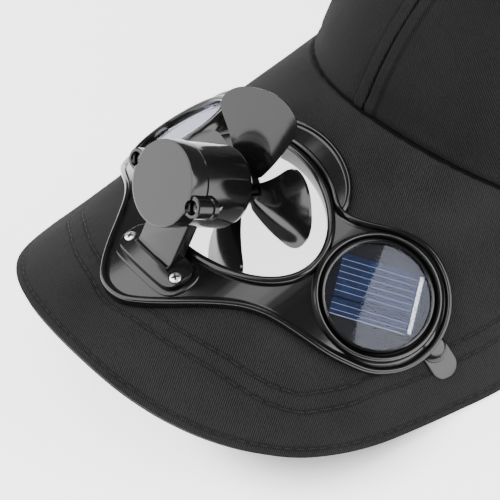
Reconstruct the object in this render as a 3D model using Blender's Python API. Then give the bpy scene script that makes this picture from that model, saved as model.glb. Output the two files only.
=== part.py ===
"""A cloth cap whose long curved peak carries a small solar driven fan.

Units are metres, +Z is up, the peak points to -Y and the cap rests on z = 0.
The fan unit is laid out on the peak's own frame: across the peak, back towards
the crown, and up from the peak's upper side.
"""

import math

import bmesh
import bpy
from mathutils import Matrix, Vector

# Clearances
GAP = 0.0003                    # between pieces that lie against each other
SHAFT_PLAY = 0.0003             # round the turning shaft
CUT_REACH = 0.0100              # how far a cutting tool runs past its piece
SHARP_FROM = 35.0               # degrees between faces that stay a sharp edge

# Crown
CROWN_HALF_WIDTH = 0.0805
CROWN_HALF_LENGTH = 0.1019
CROWN_HEIGHT = 0.1082
CROWN_ROUNDNESS = 2.16          # 2 is an ellipsoid, more is fuller
CROWN_SETBACK = 0.1545          # from the fan unit's origin back to the crown's centre
CLOTH_WALL = 0.0022
SEAM_DEPTH = 0.0008
PANELS = 6
PANEL_STEPS = 8
CROWN_ROWS = 9
FLAT_RIM_FROM = 142.0           # degrees from the front where the rim reaches the table
# The solid that trims the peak's seam: shares of the crown's height
ENVELOPE_LEVELS = (-0.2, 0.0, 0.12, 0.24, 0.34, 0.43, 0.52, 0.62)
ENVELOPE_SIDES = 64

# Button on the crown
BUTTON_RADIUS = 0.0068
BUTTON_HEIGHT = 0.0036

# Peak
PEAK_BEND_RADIUS = 0.0886
PEAK_TILT = 8.4                 # degrees, front end down
PEAK_THICKNESS = 0.0030
PEAK_REACH = 0.0559             # from the fan unit's origin to the front edge
PEAK_FLARE = 0.0111             # from the seam's end out to the widest place, along the bend
PEAK_TIP_WIDTH = 0.0032
PEAK_END_SHARE = 0.96           # of the crown's half width, where the seam ends
PEAK_END_SETBACK = 0.82         # share of the crown's setback near the peak's ends
PEAK_STATIONS = 40
PEAK_ROWS = 5
# Edge of the peak: share of the half span, share of the way from front edge to end
PEAK_EDGE = (
    (0.000, 0.000),
    (0.191, 0.007),
    (0.336, 0.025),
    (0.458, 0.053),
    (0.563, 0.089),
    (0.655, 0.132),
    (0.737, 0.183),
    (0.803, 0.243),
    (0.857, 0.311),
    (0.899, 0.385),
    (0.937, 0.463),
    (0.972, 0.542),
    (0.994, 0.634),
    (1.000, 0.721),
    (0.990, 0.809),
    (0.965, 0.891),
)

# Oval air hole
HOLE_HALF_WIDTH = 0.0335
HOLE_HALF_DEPTH = 0.0230
HOLE_BACK = 0.0150              # centre, behind the fan unit's origin
RIM_WALL = 0.0015
RIM_RISE = 0.0040
COLLAR_DROP = 0.0040            # below the peak's upper side
HOLE_SIDES = 36

# Solar windows
WINDOW_ACROSS = 0.0535
WINDOW_BACK = 0.0260
WINDOW_RADIUS = 0.01665
WINDOW_SIDES = 30
UNDER_SIDES = 96                # of the round tool that trims the windows' undersides
RING_WALL = 0.0009              # inner ring, round the window
RING_GROOVE = 0.0028            # from the window's edge to the outer ring's crest
RING_CREST = 0.0010             # half width of the outer ring
RING_SLOPE = 0.0004
RING_RISE = 0.0039
WELL_FLOOR = 0.0009
CELL_THICKNESS = 0.0006
COVER_THICKNESS = 0.0009
CELL_TURN = 37.0                # degrees from straight across, along the silver lines
CELL_FRONT = 0.0090             # half widths of the cell across its lines
CELL_REAR = 0.0105

# Fan frame
FRAME_NOSE = 0.0361
FRAME_LOBE = 0.0236
FRAME_BACK_RIM = 0.0050         # from the air hole to the frame's back edge
FRAME_FLOOR = 0.0020
LIP_RISE = 0.0037
LIP_WIDTH = 0.0022
FRAME_POINTS = 62
FRAME_SLICE = 0.0120
# Front of the outline: share of WINDOW_ACROSS, share of FRAME_NOSE ahead
FRAME_FRONT = (
    (0.000, 1.000),
    (0.090, 0.988),
    (0.200, 0.870),
    (0.318, 0.690),
    (0.426, 0.501),
    (0.540, 0.321),
    (0.626, 0.213),
    (0.729, 0.127),
    (0.847, 0.064),
    (0.974, 0.003),
    (1.090, -0.058),
    (1.204, -0.150),
)
LOBE_ARC = (-42.0, -14.0, 14.0, 42.0, 70.0, 98.0)
# Waist behind the lobe: share of WINDOW_ACROSS, share of WINDOW_BACK
FRAME_WAIST = (
    (0.757, 1.712),
    (0.640, 1.515),
)
EAR_BACK = 0.0330
EAR_HALF_WIDTH = 0.0273
EAR_DEPTH = 0.0174
EAR_FLOOR = 0.0014
EAR_RISE = 0.0025
TAB_END = 0.0870                # across, at the tab's tip
TAB_STEP = 0.0810
TAB_BACK = 0.0313
TAB_HALF_WIDTH = 0.0045
TAB_FLOOR = 0.0012
TAB_RISE = 0.0019

# Motor and its bracket
MOTOR_TILT = 43.87              # degrees of the axis below the peak's surface
FACE_AHEAD = 0.0071             # centre of the front face, ahead of the origin
FACE_RISE = 0.0284
CAP_RADIUS = 0.0134
CAP_LENGTH = 0.0065
CAP_CHAMFER = 0.0004
HOUSING_RADIUS = 0.0131
HOUSING_LENGTH = 0.0278
HOUSING_ROUND = 0.0040
MOTOR_SIDES = 32
BOSS_ACROSS = 0.0146
BOSS_RADIUS = 0.0034
BOSS_WELL_RADIUS = 0.0023
BOSS_WELL_DEPTH = 0.0022
BOSS_SET_BACK = 0.0007
BOSS_LENGTH = 0.0090
RIB_LENGTH = 0.0140
RIB_THICKNESS = 0.0016
SHAFT_RADIUS = 0.0010
SHAFT_START = 0.0200
FOOT_FRONT = 0.0232
FOOT_DEPTH = 0.0116
FOOT_HALF_WIDTH = 0.0143
FOOT_THICKNESS = 0.0014
PAD_RISE = 0.0005               # of the frame's seat for the foot
PAD_MARGIN = 0.0020
STALK_WIDTH = 0.0166
STALK_PLACE = 0.0091            # behind the motor's front face
STALK_THICKNESS = 0.0045
SCREW_ACROSS = 0.0116
SCREW_AHEAD = 0.0184
SCREW_HEAD_RADIUS = 0.0019
SCREW_HEAD_HEIGHT = 0.0011
SCREW_SHANK_RADIUS = 0.0009
SCREW_SINK = 0.0006
SCREW_SIDES = 12
SLOT_HALF_WIDTH = 0.17          # shares of the head's radius
SLOT_REACH = 0.62

# Fan
FAN_PLACE = 0.0345              # behind the motor's front face
FAN_RADIUS = 0.0315
BLADES = 4
BLADE_START = 90.0              # degrees round the axis, at the first blade's root
BLADE_SWEEP = 17.5
BLADE_PITCH = 20.0
BLADE_ROOT_HALF = 0.0029
BLADE_TIP_HALF = 0.0172
BLADE_THICKNESS = 0.0013
BLADE_CAMBER = 0.0016
BLADE_ROUND_FROM = 68           # per cent of the blade's length where its corners start
BLADE_CORNER = 2.3              # 2 rounds them as an ellipse, more leaves them squarer
BLADE_SECTIONS = (0, 23, 46, 68, 81, 91, 96, 99)
BLADE_COLUMNS = 5
HUB_RADIUS = 0.0056
HUB_FRONT = 0.0050
HUB_REAR = 0.0044
HUB_TAPER = 0.0026
HUB_CHAMFER = 0.0005
HUB_SIDES = 16
SHAFT_SIDES = 12
SHAFT_IN_HUB = 0.0030

BLACK_CLOTH = (0.028, 0.028, 0.030)
BLACK_PLASTIC = (0.012, 0.012, 0.013)


def clear_scene():
    for item in list(bpy.data.objects):
        bpy.data.objects.remove(item, do_unlink=True)


def finish(name, colour, roughness, metallic=0.0):
    material = bpy.data.materials.new(name)
    material.use_nodes = True
    shader = material.node_tree.nodes["Principled BSDF"]
    shader.inputs["Base Color"].default_value = (*colour, 1.0)
    shader.inputs["Roughness"].default_value = roughness
    shader.inputs["Metallic"].default_value = metallic
    return material


def add_object(name, bm, parent=None, material=None, matrix=None):
    bmesh.ops.recalc_face_normals(bm, faces=bm.faces)
    mesh = bpy.data.meshes.new(name)
    bm.to_mesh(mesh)
    bm.free()
    mesh.shade_smooth()
    mesh.set_sharp_from_angle(angle=math.radians(SHARP_FROM))
    item = bpy.data.objects.new(name, mesh)
    bpy.context.scene.collection.objects.link(item)
    item.parent = parent
    if matrix is not None:
        item.matrix_local = matrix
    if material is not None:
        mesh.materials.append(material)
    return item


def add_empty(name, matrix, parent=None):
    item = bpy.data.objects.new(name, None)
    bpy.context.scene.collection.objects.link(item)
    item.parent = parent
    item.matrix_local = matrix
    return item


def as_cutter(item):
    item.hide_render = True
    item.display_type = "WIRE"
    return item


def combine(item, other, operation):
    step = item.modifiers.new(operation.title() + " " + other.name, "BOOLEAN")
    step.operation = operation
    step.object = other
    step.solver = "EXACT"


def evaluated(item):
    bpy.context.view_layer.update()
    bm = bmesh.new()
    bm.from_object(item, bpy.context.evaluated_depsgraph_get())
    return bm


def loft(loops):
    """Join closed loops of equal length, one after another, and cap the ends."""
    bm = bmesh.new()
    rows = [[bm.verts.new(point) for point in loop] for loop in loops]
    for low, high in zip(rows, rows[1:]):
        for index in range(len(low)):
            after = (index + 1) % len(low)
            bm.faces.new((low[index], low[after], high[after], high[index]))
    bm.faces.new(list(reversed(rows[0])))
    bm.faces.new(rows[-1])
    return bm


def lathe(profile, sides):
    """Turn (radius, height) pairs round Z and close both ends with flat faces."""
    turns = [math.tau * (index + 0.5) / sides for index in range(sides)]
    return loft([
        [Vector((radius * math.cos(turn), radius * math.sin(turn), height)) for turn in turns]
        for radius, height in profile
    ])


def ellipse(half_width, half_depth, centre_back, height, sides=HOLE_SIDES):
    turns = (math.tau * index / sides for index in range(sides))
    return [
        Vector((half_width * math.cos(turn), centre_back + half_depth * math.sin(turn), height))
        for turn in turns
    ]


def smooth_points(points, steps, closed):
    """Catmull-Rom curve through the points."""
    count = len(points)
    result = []
    for index in range(count if closed else count - 1):
        if closed:
            around = [points[(index + shift) % count] for shift in (-1, 0, 1, 2)]
        else:
            around = [points[min(max(index + shift, 0), count - 1)] for shift in (-1, 0, 1, 2)]
        before, start, end, after = around
        for step in range(steps):
            u = step / steps
            result.append(0.5 * (
                2.0 * start + (end - before) * u
                + (2.0 * before - 5.0 * start + 4.0 * end - after) * u * u
                + (3.0 * start - before - 3.0 * end + after) * u ** 3
            ))
    if not closed:
        result.append(points[-1].copy())
    return result


def resample(points, count, closed):
    """Points evenly spaced along a line of points."""
    track = points + [points[0]] if closed else points
    lengths = [0.0]
    for start, end in zip(track, track[1:]):
        lengths.append(lengths[-1] + (end - start).length)
    result = []
    place = 0
    for index in range(count):
        wanted = lengths[-1] * index / (count if closed else count - 1)
        while place < len(lengths) - 2 and lengths[place + 1] < wanted:
            place += 1
        share = (wanted - lengths[place]) / (lengths[place + 1] - lengths[place])
        result.append(track[place].lerp(track[place + 1], min(share, 1.0)))
    return result


def inset(loop, distance, height):
    """A loop moved inwards by a distance, at a height; the loop runs anticlockwise."""
    result = []
    for index, point in enumerate(loop):
        along = (loop[(index + 1) % len(loop)] - loop[index - 1]).normalized()
        result.append(Vector((point.x - along.y * distance, point.y + along.x * distance, height)))
    return result


PEAK_END_ACROSS = PEAK_BEND_RADIUS * math.asin(
    PEAK_END_SHARE * CROWN_HALF_WIDTH / PEAK_BEND_RADIUS
)
PEAK_HALF_SPAN = PEAK_END_ACROSS + PEAK_FLARE


def bend_point(across, back, rise):
    turn = across / PEAK_BEND_RADIUS
    reach = PEAK_BEND_RADIUS + rise
    return Vector((reach * math.sin(turn), back, reach * math.cos(turn) - PEAK_BEND_RADIUS))


def bend(bm):
    """Slice a flat layout across the peak and wrap it on the peak's curve."""
    widest = max(abs(vert.co.x) for vert in bm.verts)
    half = int(widest / FRAME_SLICE)
    for index in range(-half, half + 1):
        bmesh.ops.bisect_plane(
            bm, geom=bm.verts[:] + bm.edges[:] + bm.faces[:], dist=0.00001,
            plane_co=(index * FRAME_SLICE, 0.0, 0.0), plane_no=(1.0, 0.0, 0.0),
        )
    bmesh.ops.triangulate(bm, faces=bm.faces)
    for vert in bm.verts:
        vert.co = bend_point(*vert.co)


def on_peak(across, back, rise):
    """Matrix of a place on the peak, with Z square to its surface."""
    turn = across / PEAK_BEND_RADIUS
    return Matrix.Translation(bend_point(across, back, rise)) @ Matrix.Rotation(turn, 4, "Y")


def dome_level(point, grow=0.0):
    """Below 1 inside the crown's outer surface, above 1 outside it."""
    across = point.x / (CROWN_HALF_WIDTH + grow)
    along = (point.y - CROWN_SETBACK) / (CROWN_HALF_LENGTH + grow)
    ring = math.hypot(across, along)
    return ring ** CROWN_ROUNDNESS + (abs(point.z) / (CROWN_HEIGHT + grow)) ** CROWN_ROUNDNESS


def dome_point(turn, level, shrink):
    """Point of the crown at a turn from the front and a height share of its dome."""
    seam = abs(math.sin(0.5 * PANELS * turn))
    shrink += SEAM_DEPTH * (1.0 - min(1.0, 2.0 * seam))
    ring = max(1.0 - level ** CROWN_ROUNDNESS, 0.0) ** (1.0 / CROWN_ROUNDNESS)
    width = CROWN_HALF_WIDTH - shrink
    length = CROWN_HALF_LENGTH - shrink
    return Vector((
        width * ring * math.sin(turn),
        CROWN_SETBACK - length * ring * math.cos(turn),
        (CROWN_HEIGHT - shrink) * level,
    ))


def stand_on_edge():
    """Height of the fan unit's origin that puts the peak's lowest edge on the table."""
    tilt = Matrix.Rotation(math.radians(PEAK_TILT), 3, "X")
    lowest = 0.0
    for across, back_share in PEAK_EDGE:
        back = -PEAK_REACH + back_share * (PEAK_REACH + CROWN_SETBACK * PEAK_END_SETBACK)
        low = tilt @ bend_point(across * PEAK_HALF_SPAN, back, -PEAK_THICKNESS)
        lowest = min(lowest, low.z)
    return -lowest


PEAK_HEIGHT = stand_on_edge()
PEAK_MATRIX = (
    Matrix.Translation((0.0, 0.0, PEAK_HEIGHT))
    @ Matrix.Rotation(math.radians(PEAK_TILT), 4, "X")
)
# The whole part is centred on the origin, front to back
PEAK_FRONT = (PEAK_MATRIX @ bend_point(0.0, -PEAK_REACH, 0.0)).y
CENTRE_SHIFT = Matrix.Translation(
    (0.0, -0.5 * (PEAK_FRONT + CROWN_SETBACK + CROWN_HALF_LENGTH), 0.0)
)


def seam_back(across):
    """How far back the peak's upper side meets the crown's outer surface."""
    near = 0.0
    far = CROWN_SETBACK
    for _ in range(40):
        middle = 0.5 * (near + far)
        if dome_level(PEAK_MATRIX @ bend_point(across, middle, 0.0), GAP) > 1.0:
            near = middle
        else:
            far = middle
    return far


PEAK_END_BACK = seam_back(PEAK_END_ACROSS)


def peak_lines():
    """Seam line and outer edge of the peak, as points across and back."""
    half = [
        Vector((across * PEAK_HALF_SPAN, -PEAK_REACH + share * (PEAK_REACH + PEAK_END_BACK), 0.0))
        for across, share in PEAK_EDGE
    ]
    half.append(Vector((PEAK_END_ACROSS + PEAK_TIP_WIDTH, PEAK_END_BACK, 0.0)))
    mirrored = [Vector((-point.x, point.y, 0.0)) for point in reversed(half[1:])]
    edge = resample(smooth_points(mirrored + half, 8, False), PEAK_STATIONS + 1, False)
    seam = []
    for index in range(PEAK_STATIONS + 1):
        across = PEAK_END_ACROSS * (2.0 * index / PEAK_STATIONS - 1.0)
        seam.append(Vector((across, seam_back(across) + 2.0 * CLOTH_WALL, 0.0)))
    return seam, edge


def crown_envelope():
    """Solid the size of the crown with a gap all round, which trims the peak's seam."""
    grow = 1.5 * GAP
    loops = []
    for level in ENVELOPE_LEVELS:
        ring = (1.0 - max(level, 0.0) ** CROWN_ROUNDNESS) ** (1.0 / CROWN_ROUNDNESS)
        wide = ring * (CROWN_HALF_WIDTH + grow)
        long = ring * (CROWN_HALF_LENGTH + grow)
        loops.append(ellipse(wide, long, CROWN_SETBACK, level * CROWN_HEIGHT, ENVELOPE_SIDES))
    return loft(loops)


def make_peak(parent, material):
    seam, edge = peak_lines()
    bm = bmesh.new()
    sides = []
    for rise in (0.0, -PEAK_THICKNESS):
        rows = []
        for row in range(PEAK_ROWS + 1):
            share = row / PEAK_ROWS
            flat = [inner.lerp(outer, share) for inner, outer in zip(seam, edge)]
            rows.append([bm.verts.new(bend_point(spot.x, spot.y, rise)) for spot in flat])
        sides.append(rows)
    for rows in sides:
        for low, high in zip(rows, rows[1:]):
            for index in range(PEAK_STATIONS):
                bm.faces.new((low[index], low[index + 1], high[index + 1], high[index]))
    for top, bottom in ((sides[0][0], sides[1][0]), (sides[0][-1], sides[1][-1])):
        for index in range(PEAK_STATIONS):
            bm.faces.new((top[index], top[index + 1], bottom[index + 1], bottom[index]))
    for end in (0, PEAK_STATIONS):
        for row in range(PEAK_ROWS):
            bm.faces.new((
                sides[0][row][end], sides[0][row + 1][end],
                sides[1][row + 1][end], sides[1][row][end],
            ))
    bmesh.ops.triangulate(bm, faces=bm.faces)
    peak = add_object("peak", bm, parent, material)
    wide = RIM_WALL + GAP
    hole = loft([
        ellipse(HOLE_HALF_WIDTH + wide, HOLE_HALF_DEPTH + wide, HOLE_BACK, height)
        for height in (-3.0 * PEAK_THICKNESS, 2.0 * PEAK_THICKNESS)
    ])
    bend(hole)
    combine(peak, as_cutter(add_object("cutter_peak_hole", hole, parent)), "DIFFERENCE")
    trim = add_object("cutter_peak_seam", crown_envelope(), None, None, CENTRE_SHIFT)
    combine(peak, as_cutter(trim), "DIFFERENCE")


def rim_level(turn):
    """Height share of the crown's rim: under the peak in front, on the table behind."""
    to_peak = PEAK_MATRIX.inverted()

    def above_peak(level):
        spot = to_peak @ dome_point(turn, level, 0.0)
        reach = math.hypot(spot.x, spot.z + PEAK_BEND_RADIUS)
        return reach - PEAK_BEND_RADIUS + PEAK_THICKNESS

    low = 0.0
    high = 0.95
    for _ in range(40):
        middle = 0.5 * (low + high)
        if above_peak(middle) > 0.0:
            high = middle
        else:
            low = middle
    return high


def rim_levels(turns):
    end = PEAK_MATRIX @ bend_point(PEAK_END_ACROSS, PEAK_END_BACK, 0.0)
    end_turn = math.atan2(
        end.x / CROWN_HALF_WIDTH, (CROWN_SETBACK - end.y) / CROWN_HALF_LENGTH
    )
    end_level = rim_level(end_turn)
    flat_turn = math.radians(FLAT_RIM_FROM)
    levels = []
    for turn in turns:
        away = min(turn, math.tau - turn)
        if away <= end_turn:
            levels.append(rim_level(away))
        else:
            share = min((away - end_turn) / (flat_turn - end_turn), 1.0)
            levels.append(end_level * (1.0 - share) ** 2)
    return levels


def make_crown(material):
    steps = PANELS * PANEL_STEPS
    turns = [math.tau * index / steps for index in range(steps)]
    starts = rim_levels(turns)
    bm = bmesh.new()
    walls = []
    for shrink in (0.0, CLOTH_WALL):
        rows = []
        for row in range(CROWN_ROWS):
            share = math.sin(0.5 * math.pi * row / CROWN_ROWS)
            loop = []
            for turn, start in zip(turns, starts):
                floor = start * CROWN_HEIGHT / (CROWN_HEIGHT - shrink)
                loop.append(bm.verts.new(dome_point(turn, floor + (1.0 - floor) * share, shrink)))
            rows.append(loop)
        top = bm.verts.new((0.0, CROWN_SETBACK, CROWN_HEIGHT - shrink))
        walls.append(rows)
        for low, high in zip(rows, rows[1:]):
            for index in range(steps):
                after = (index + 1) % steps
                bm.faces.new((low[index], low[after], high[after], high[index]))
        for index in range(steps):
            bm.faces.new((rows[-1][index], rows[-1][(index + 1) % steps], top))
    outer, inner = walls[0][0], walls[1][0]
    for start, vert, inside in zip(starts, outer, inner):
        vert.co.z = start * CROWN_HEIGHT
        inside.co.z = start * CROWN_HEIGHT
    for index in range(steps):
        after = (index + 1) % steps
        bm.faces.new((outer[index], outer[after], inner[after], inner[index]))
    return add_object("crown", bm, None, material, CENTRE_SHIFT)


def make_button(material):
    profile = []
    for step in range(6):
        turn = math.radians(16.0 * step)
        profile.append((BUTTON_RADIUS * math.cos(turn), BUTTON_HEIGHT * math.sin(turn)))
    bm = lathe(profile, 20)
    place = CENTRE_SHIFT @ Matrix.Translation((0.0, CROWN_SETBACK, CROWN_HEIGHT + GAP))
    return add_object("top_button", bm, None, material, place)


def frame_outline():
    """Closed outline of the fan frame's moulding, flat, anticlockwise."""
    half = [
        Vector((across * WINDOW_ACROSS, -ahead * FRAME_NOSE, 0.0))
        for across, ahead in FRAME_FRONT
    ]
    for angle in LOBE_ARC:
        turn = math.radians(angle)
        half.append(Vector((
            WINDOW_ACROSS + FRAME_LOBE * math.cos(turn),
            WINDOW_BACK + FRAME_LOBE * math.sin(turn), 0.0,
        )))
    for across, back in FRAME_WAIST:
        half.append(Vector((across * WINDOW_ACROSS, back * WINDOW_BACK, 0.0)))
    wide = HOLE_HALF_WIDTH + FRAME_BACK_RIM
    deep = HOLE_HALF_DEPTH + FRAME_BACK_RIM
    for angle in (47.0, 59.0, 74.0, 90.0):
        turn = math.radians(angle)
        half.append(Vector((wide * math.cos(turn), HOLE_BACK + deep * math.sin(turn), 0.0)))
    half[-1].x = 0.0
    mirrored = [Vector((-point.x, point.y, 0.0)) for point in reversed(half[1:-1])]
    return resample(smooth_points(half + mirrored, 6, True), FRAME_POINTS, True)


def flat_frame():
    """The moulded frame laid flat, before it is wrapped on the peak."""
    outline = frame_outline()
    body = add_object("flat_body", loft([
        inset(outline, 0.0, GAP),
        inset(outline, 0.0, 0.72 * LIP_RISE),
        inset(outline, 0.40 * LIP_WIDTH, LIP_RISE),
    ]))
    pocket = add_object("flat_pocket", loft([
        inset(outline, 1.25 * LIP_WIDTH, FRAME_FLOOR),
        inset(outline, 0.85 * LIP_WIDTH, LIP_RISE),
        inset(outline, 0.85 * LIP_WIDTH, 2.0 * LIP_RISE),
    ]))
    rim_steps = ((1.8, 0.25 * RIM_RISE), (1.7, 0.85 * RIM_RISE), (1.3, RIM_RISE))
    rim = add_object("flat_rim", loft([
        ellipse(HOLE_HALF_WIDTH + RIM_WALL * step, HOLE_HALF_DEPTH + RIM_WALL * step,
                HOLE_BACK, height)
        for step, height in rim_steps
    ]))
    collar = add_object("flat_collar", loft([
        ellipse(HOLE_HALF_WIDTH + RIM_WALL, HOLE_HALF_DEPTH + RIM_WALL, HOLE_BACK, height)
        for height in (-COLLAR_DROP, 0.45 * FRAME_FLOOR)
    ]))
    throat_steps = (
        (0.0, -2.0 * COLLAR_DROP), (0.0, 0.85 * RIM_RISE),
        (0.5 * RIM_WALL, 1.05 * RIM_RISE), (0.5 * RIM_WALL, 2.0 * RIM_RISE),
    )
    throat = add_object("flat_throat", loft([
        ellipse(HOLE_HALF_WIDTH + wide, HOLE_HALF_DEPTH + wide, HOLE_BACK, height)
        for wide, height in throat_steps
    ]))
    keep_out = add_object("flat_keep_out", loft([
        inset(outline, 0.4 * LIP_WIDTH, height) for height in (-CUT_REACH, CUT_REACH)
    ]))
    ear = add_object("flat_ear", loft([
        ellipse(EAR_HALF_WIDTH - step, EAR_DEPTH - step, EAR_BACK, height)
        for step, height in ((0.0, GAP), (0.0, 0.75 * EAR_RISE), (0.0006, EAR_RISE))
    ]))
    ear_pocket = add_object("flat_ear_pocket", loft([
        ellipse(EAR_HALF_WIDTH - step, EAR_DEPTH - step, EAR_BACK, height)
        for step, height in ((0.0018, EAR_FLOOR), (0.0014, 2.0 * EAR_RISE))
    ]))
    combine(ear, ear_pocket, "DIFFERENCE")
    combine(ear, keep_out, "DIFFERENCE")
    foot = foot_outline()
    pad = add_object("flat_pad", loft([
        inset(foot, -PAD_MARGIN, 0.5 * FRAME_FLOOR),
        inset(foot, -PAD_MARGIN, FRAME_FLOOR),
        inset(foot, 0.6 * PAD_RISE - PAD_MARGIN, FRAME_FLOOR + PAD_RISE),
    ]))
    combine(body, pocket, "DIFFERENCE")
    combine(body, pad, "UNION")
    combine(body, rim, "UNION")
    combine(body, collar, "UNION")
    combine(body, ear, "UNION")
    tabs = []
    for side in (-1.0, 1.0):
        for end, height in ((TAB_END, TAB_FLOOR), (TAB_STEP, TAB_RISE)):
            tab = add_object("flat_tab", loft([
                tab_loop(side, end, level) for level in (GAP, height)
            ]))
            combine(tab, keep_out, "DIFFERENCE")
            combine(body, tab, "UNION")
            tabs.append(tab)
    combine(body, throat, "DIFFERENCE")
    bm = evaluated(body)
    helpers = [body, pocket, pad, rim, collar, throat, keep_out, ear, ear_pocket] + tabs
    for helper in helpers:
        bpy.data.objects.remove(helper, do_unlink=True)
    return bm


def tab_loop(side, end, height):
    """A tongue with a round end that starts inside the frame's lobe."""
    start = WINDOW_ACROSS + 0.7 * FRAME_LOBE
    loop = [Vector((start, TAB_BACK - TAB_HALF_WIDTH, height))]
    for step in range(7):
        turn = math.pi * (step / 6 - 0.5)
        loop.append(Vector((
            end - TAB_HALF_WIDTH + TAB_HALF_WIDTH * math.cos(turn),
            TAB_BACK + TAB_HALF_WIDTH * math.sin(turn), height,
        )))
    loop.append(Vector((start, TAB_BACK + TAB_HALF_WIDTH, height)))
    for point in loop:
        point.x *= side
    if side < 0.0:
        loop.reverse()
    return loop


def window_ring():
    """Round housing of a solar window, floor and all, turned about its own centre."""
    crest = WINDOW_RADIUS + RING_GROOVE
    inner = WINDOW_RADIUS + RING_WALL
    return lathe([
        (WINDOW_RADIUS, WELL_FLOOR),
        (WINDOW_RADIUS, 0.95 * RING_RISE),
        (inner, 0.95 * RING_RISE),
        (inner + RING_SLOPE, 0.68 * RING_RISE),
        (crest - RING_CREST, 0.68 * RING_RISE),
        (crest - 0.5 * RING_CREST, RING_RISE),
        (crest + 0.6 * RING_CREST, 0.92 * RING_RISE),
        (crest + RING_CREST, 0.60 * RING_RISE),
        (crest + RING_CREST, -2.0 * RING_RISE),
    ], WINDOW_SIDES)


def cylinder(radius, low, high, sides):
    return lathe([(radius, low), (radius, high)], sides)


def make_frame(parent, material):
    bm = flat_frame()
    bend(bm)
    frame = add_object("fan_frame", bm, parent, material)
    reach = FRAME_NOSE + CROWN_SETBACK
    under = cylinder(PEAK_BEND_RADIUS + GAP, -reach, reach, UNDER_SIDES)
    lay_down = Matrix.Translation((0.0, 0.0, -PEAK_BEND_RADIUS)) @ Matrix.Rotation(
        math.radians(90.0), 4, "X"
    )
    under_cutter = as_cutter(add_object("cutter_under_rings", under, parent, None, lay_down))
    for side, name in ((-1.0, "left"), (1.0, "right")):
        place = on_peak(side * WINDOW_ACROSS, WINDOW_BACK, 0.0)
        well = cylinder(WINDOW_RADIUS + RING_WALL, -CUT_REACH, CUT_REACH, WINDOW_SIDES)
        well_cutter = as_cutter(add_object("cutter_well_" + name, well, parent, None, place))
        combine(frame, well_cutter, "DIFFERENCE")
        ring = as_cutter(add_object("join_ring_" + name, window_ring(), parent, None, place))
        combine(ring, under_cutter, "DIFFERENCE")
        combine(frame, ring, "UNION")
    for side, name in ((-1.0, "left"), (1.0, "right")):
        hole = cylinder(SCREW_SHANK_RADIUS + GAP, 2.0 * GAP, CUT_REACH, SCREW_SIDES)
        place = on_peak(side * SCREW_ACROSS, -SCREW_AHEAD, 0.0)
        combine(frame, as_cutter(
            add_object("cutter_frame_screw_" + name, hole, parent, None, place)
        ), "DIFFERENCE")


def make_window(side, name, parent, cell_material, cover_material):
    place = on_peak(side * WINDOW_ACROSS, WINDOW_BACK, 0.0)
    radius = WINDOW_RADIUS - GAP
    low = WELL_FLOOR + GAP
    turn_cell = Matrix.Rotation(side * math.radians(CELL_TURN), 2)
    loops = []
    for height in (low, low + CELL_THICKNESS):
        loop = []
        for index in range(WINDOW_SIDES):
            turn = math.tau * index / WINDOW_SIDES
            spot = Vector((radius * math.cos(turn), radius * math.sin(turn)))
            spot.y = min(max(spot.y, -CELL_FRONT), CELL_REAR)
            spot = turn_cell @ spot
            loop.append(Vector((spot.x, spot.y, height)))
        loops.append(loop)
    add_object("solar_cell_" + name, loft(loops), parent, cell_material, place)
    base = low + CELL_THICKNESS + GAP
    edge = 0.25 * COVER_THICKNESS
    cover = lathe([
        (radius, base),
        (radius, base + COVER_THICKNESS - edge),
        (radius - edge, base + COVER_THICKNESS),
    ], WINDOW_SIDES)
    add_object("solar_cover_" + name, cover, parent, cover_material, place)


def make_screw(name, parent, place, shank, material):
    """Pan head with its top at z = 0 and a cross recess."""
    radius = SCREW_HEAD_RADIUS
    under = -SCREW_HEAD_HEIGHT
    bm = lathe([
        (SCREW_SHANK_RADIUS, under - shank),
        (SCREW_SHANK_RADIUS, under),
        (radius, under),
        (radius, 0.45 * under),
        (0.72 * radius, 0.0),
    ], 10)
    screw = add_object(name, bm, parent, material, place)
    slot = SLOT_HALF_WIDTH * radius
    reach = SLOT_REACH * radius
    corners = [
        (slot, slot), (slot, reach), (-slot, reach), (-slot, slot),
        (-reach, slot), (-reach, -slot), (-slot, -slot), (-slot, -reach),
        (slot, -reach), (slot, -slot), (reach, -slot), (reach, slot),
    ]
    cross = loft([
        [Vector((x, y, height)) for x, y in corners]
        for height in (0.6 * under, radius)
    ])
    combine(screw, as_cutter(add_object("cutter_" + name, cross, parent, None, place)),
            "DIFFERENCE")


def foot_outline():
    """Rounded outline of the bracket's foot, flat, anticlockwise."""
    corners = (
        (-0.74, 1.00), (0.74, 1.00), (0.98, 0.68), (0.98, 0.30),
        (0.76, 0.00), (-0.76, 0.00), (-0.98, 0.30), (-0.98, 0.68),
    )
    back = FOOT_FRONT - FOOT_DEPTH
    points = [Vector((x * FOOT_HALF_WIDTH, -back - y * FOOT_DEPTH, 0.0)) for x, y in corners]
    return resample(smooth_points(points, 4, True), 28, True)


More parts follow.
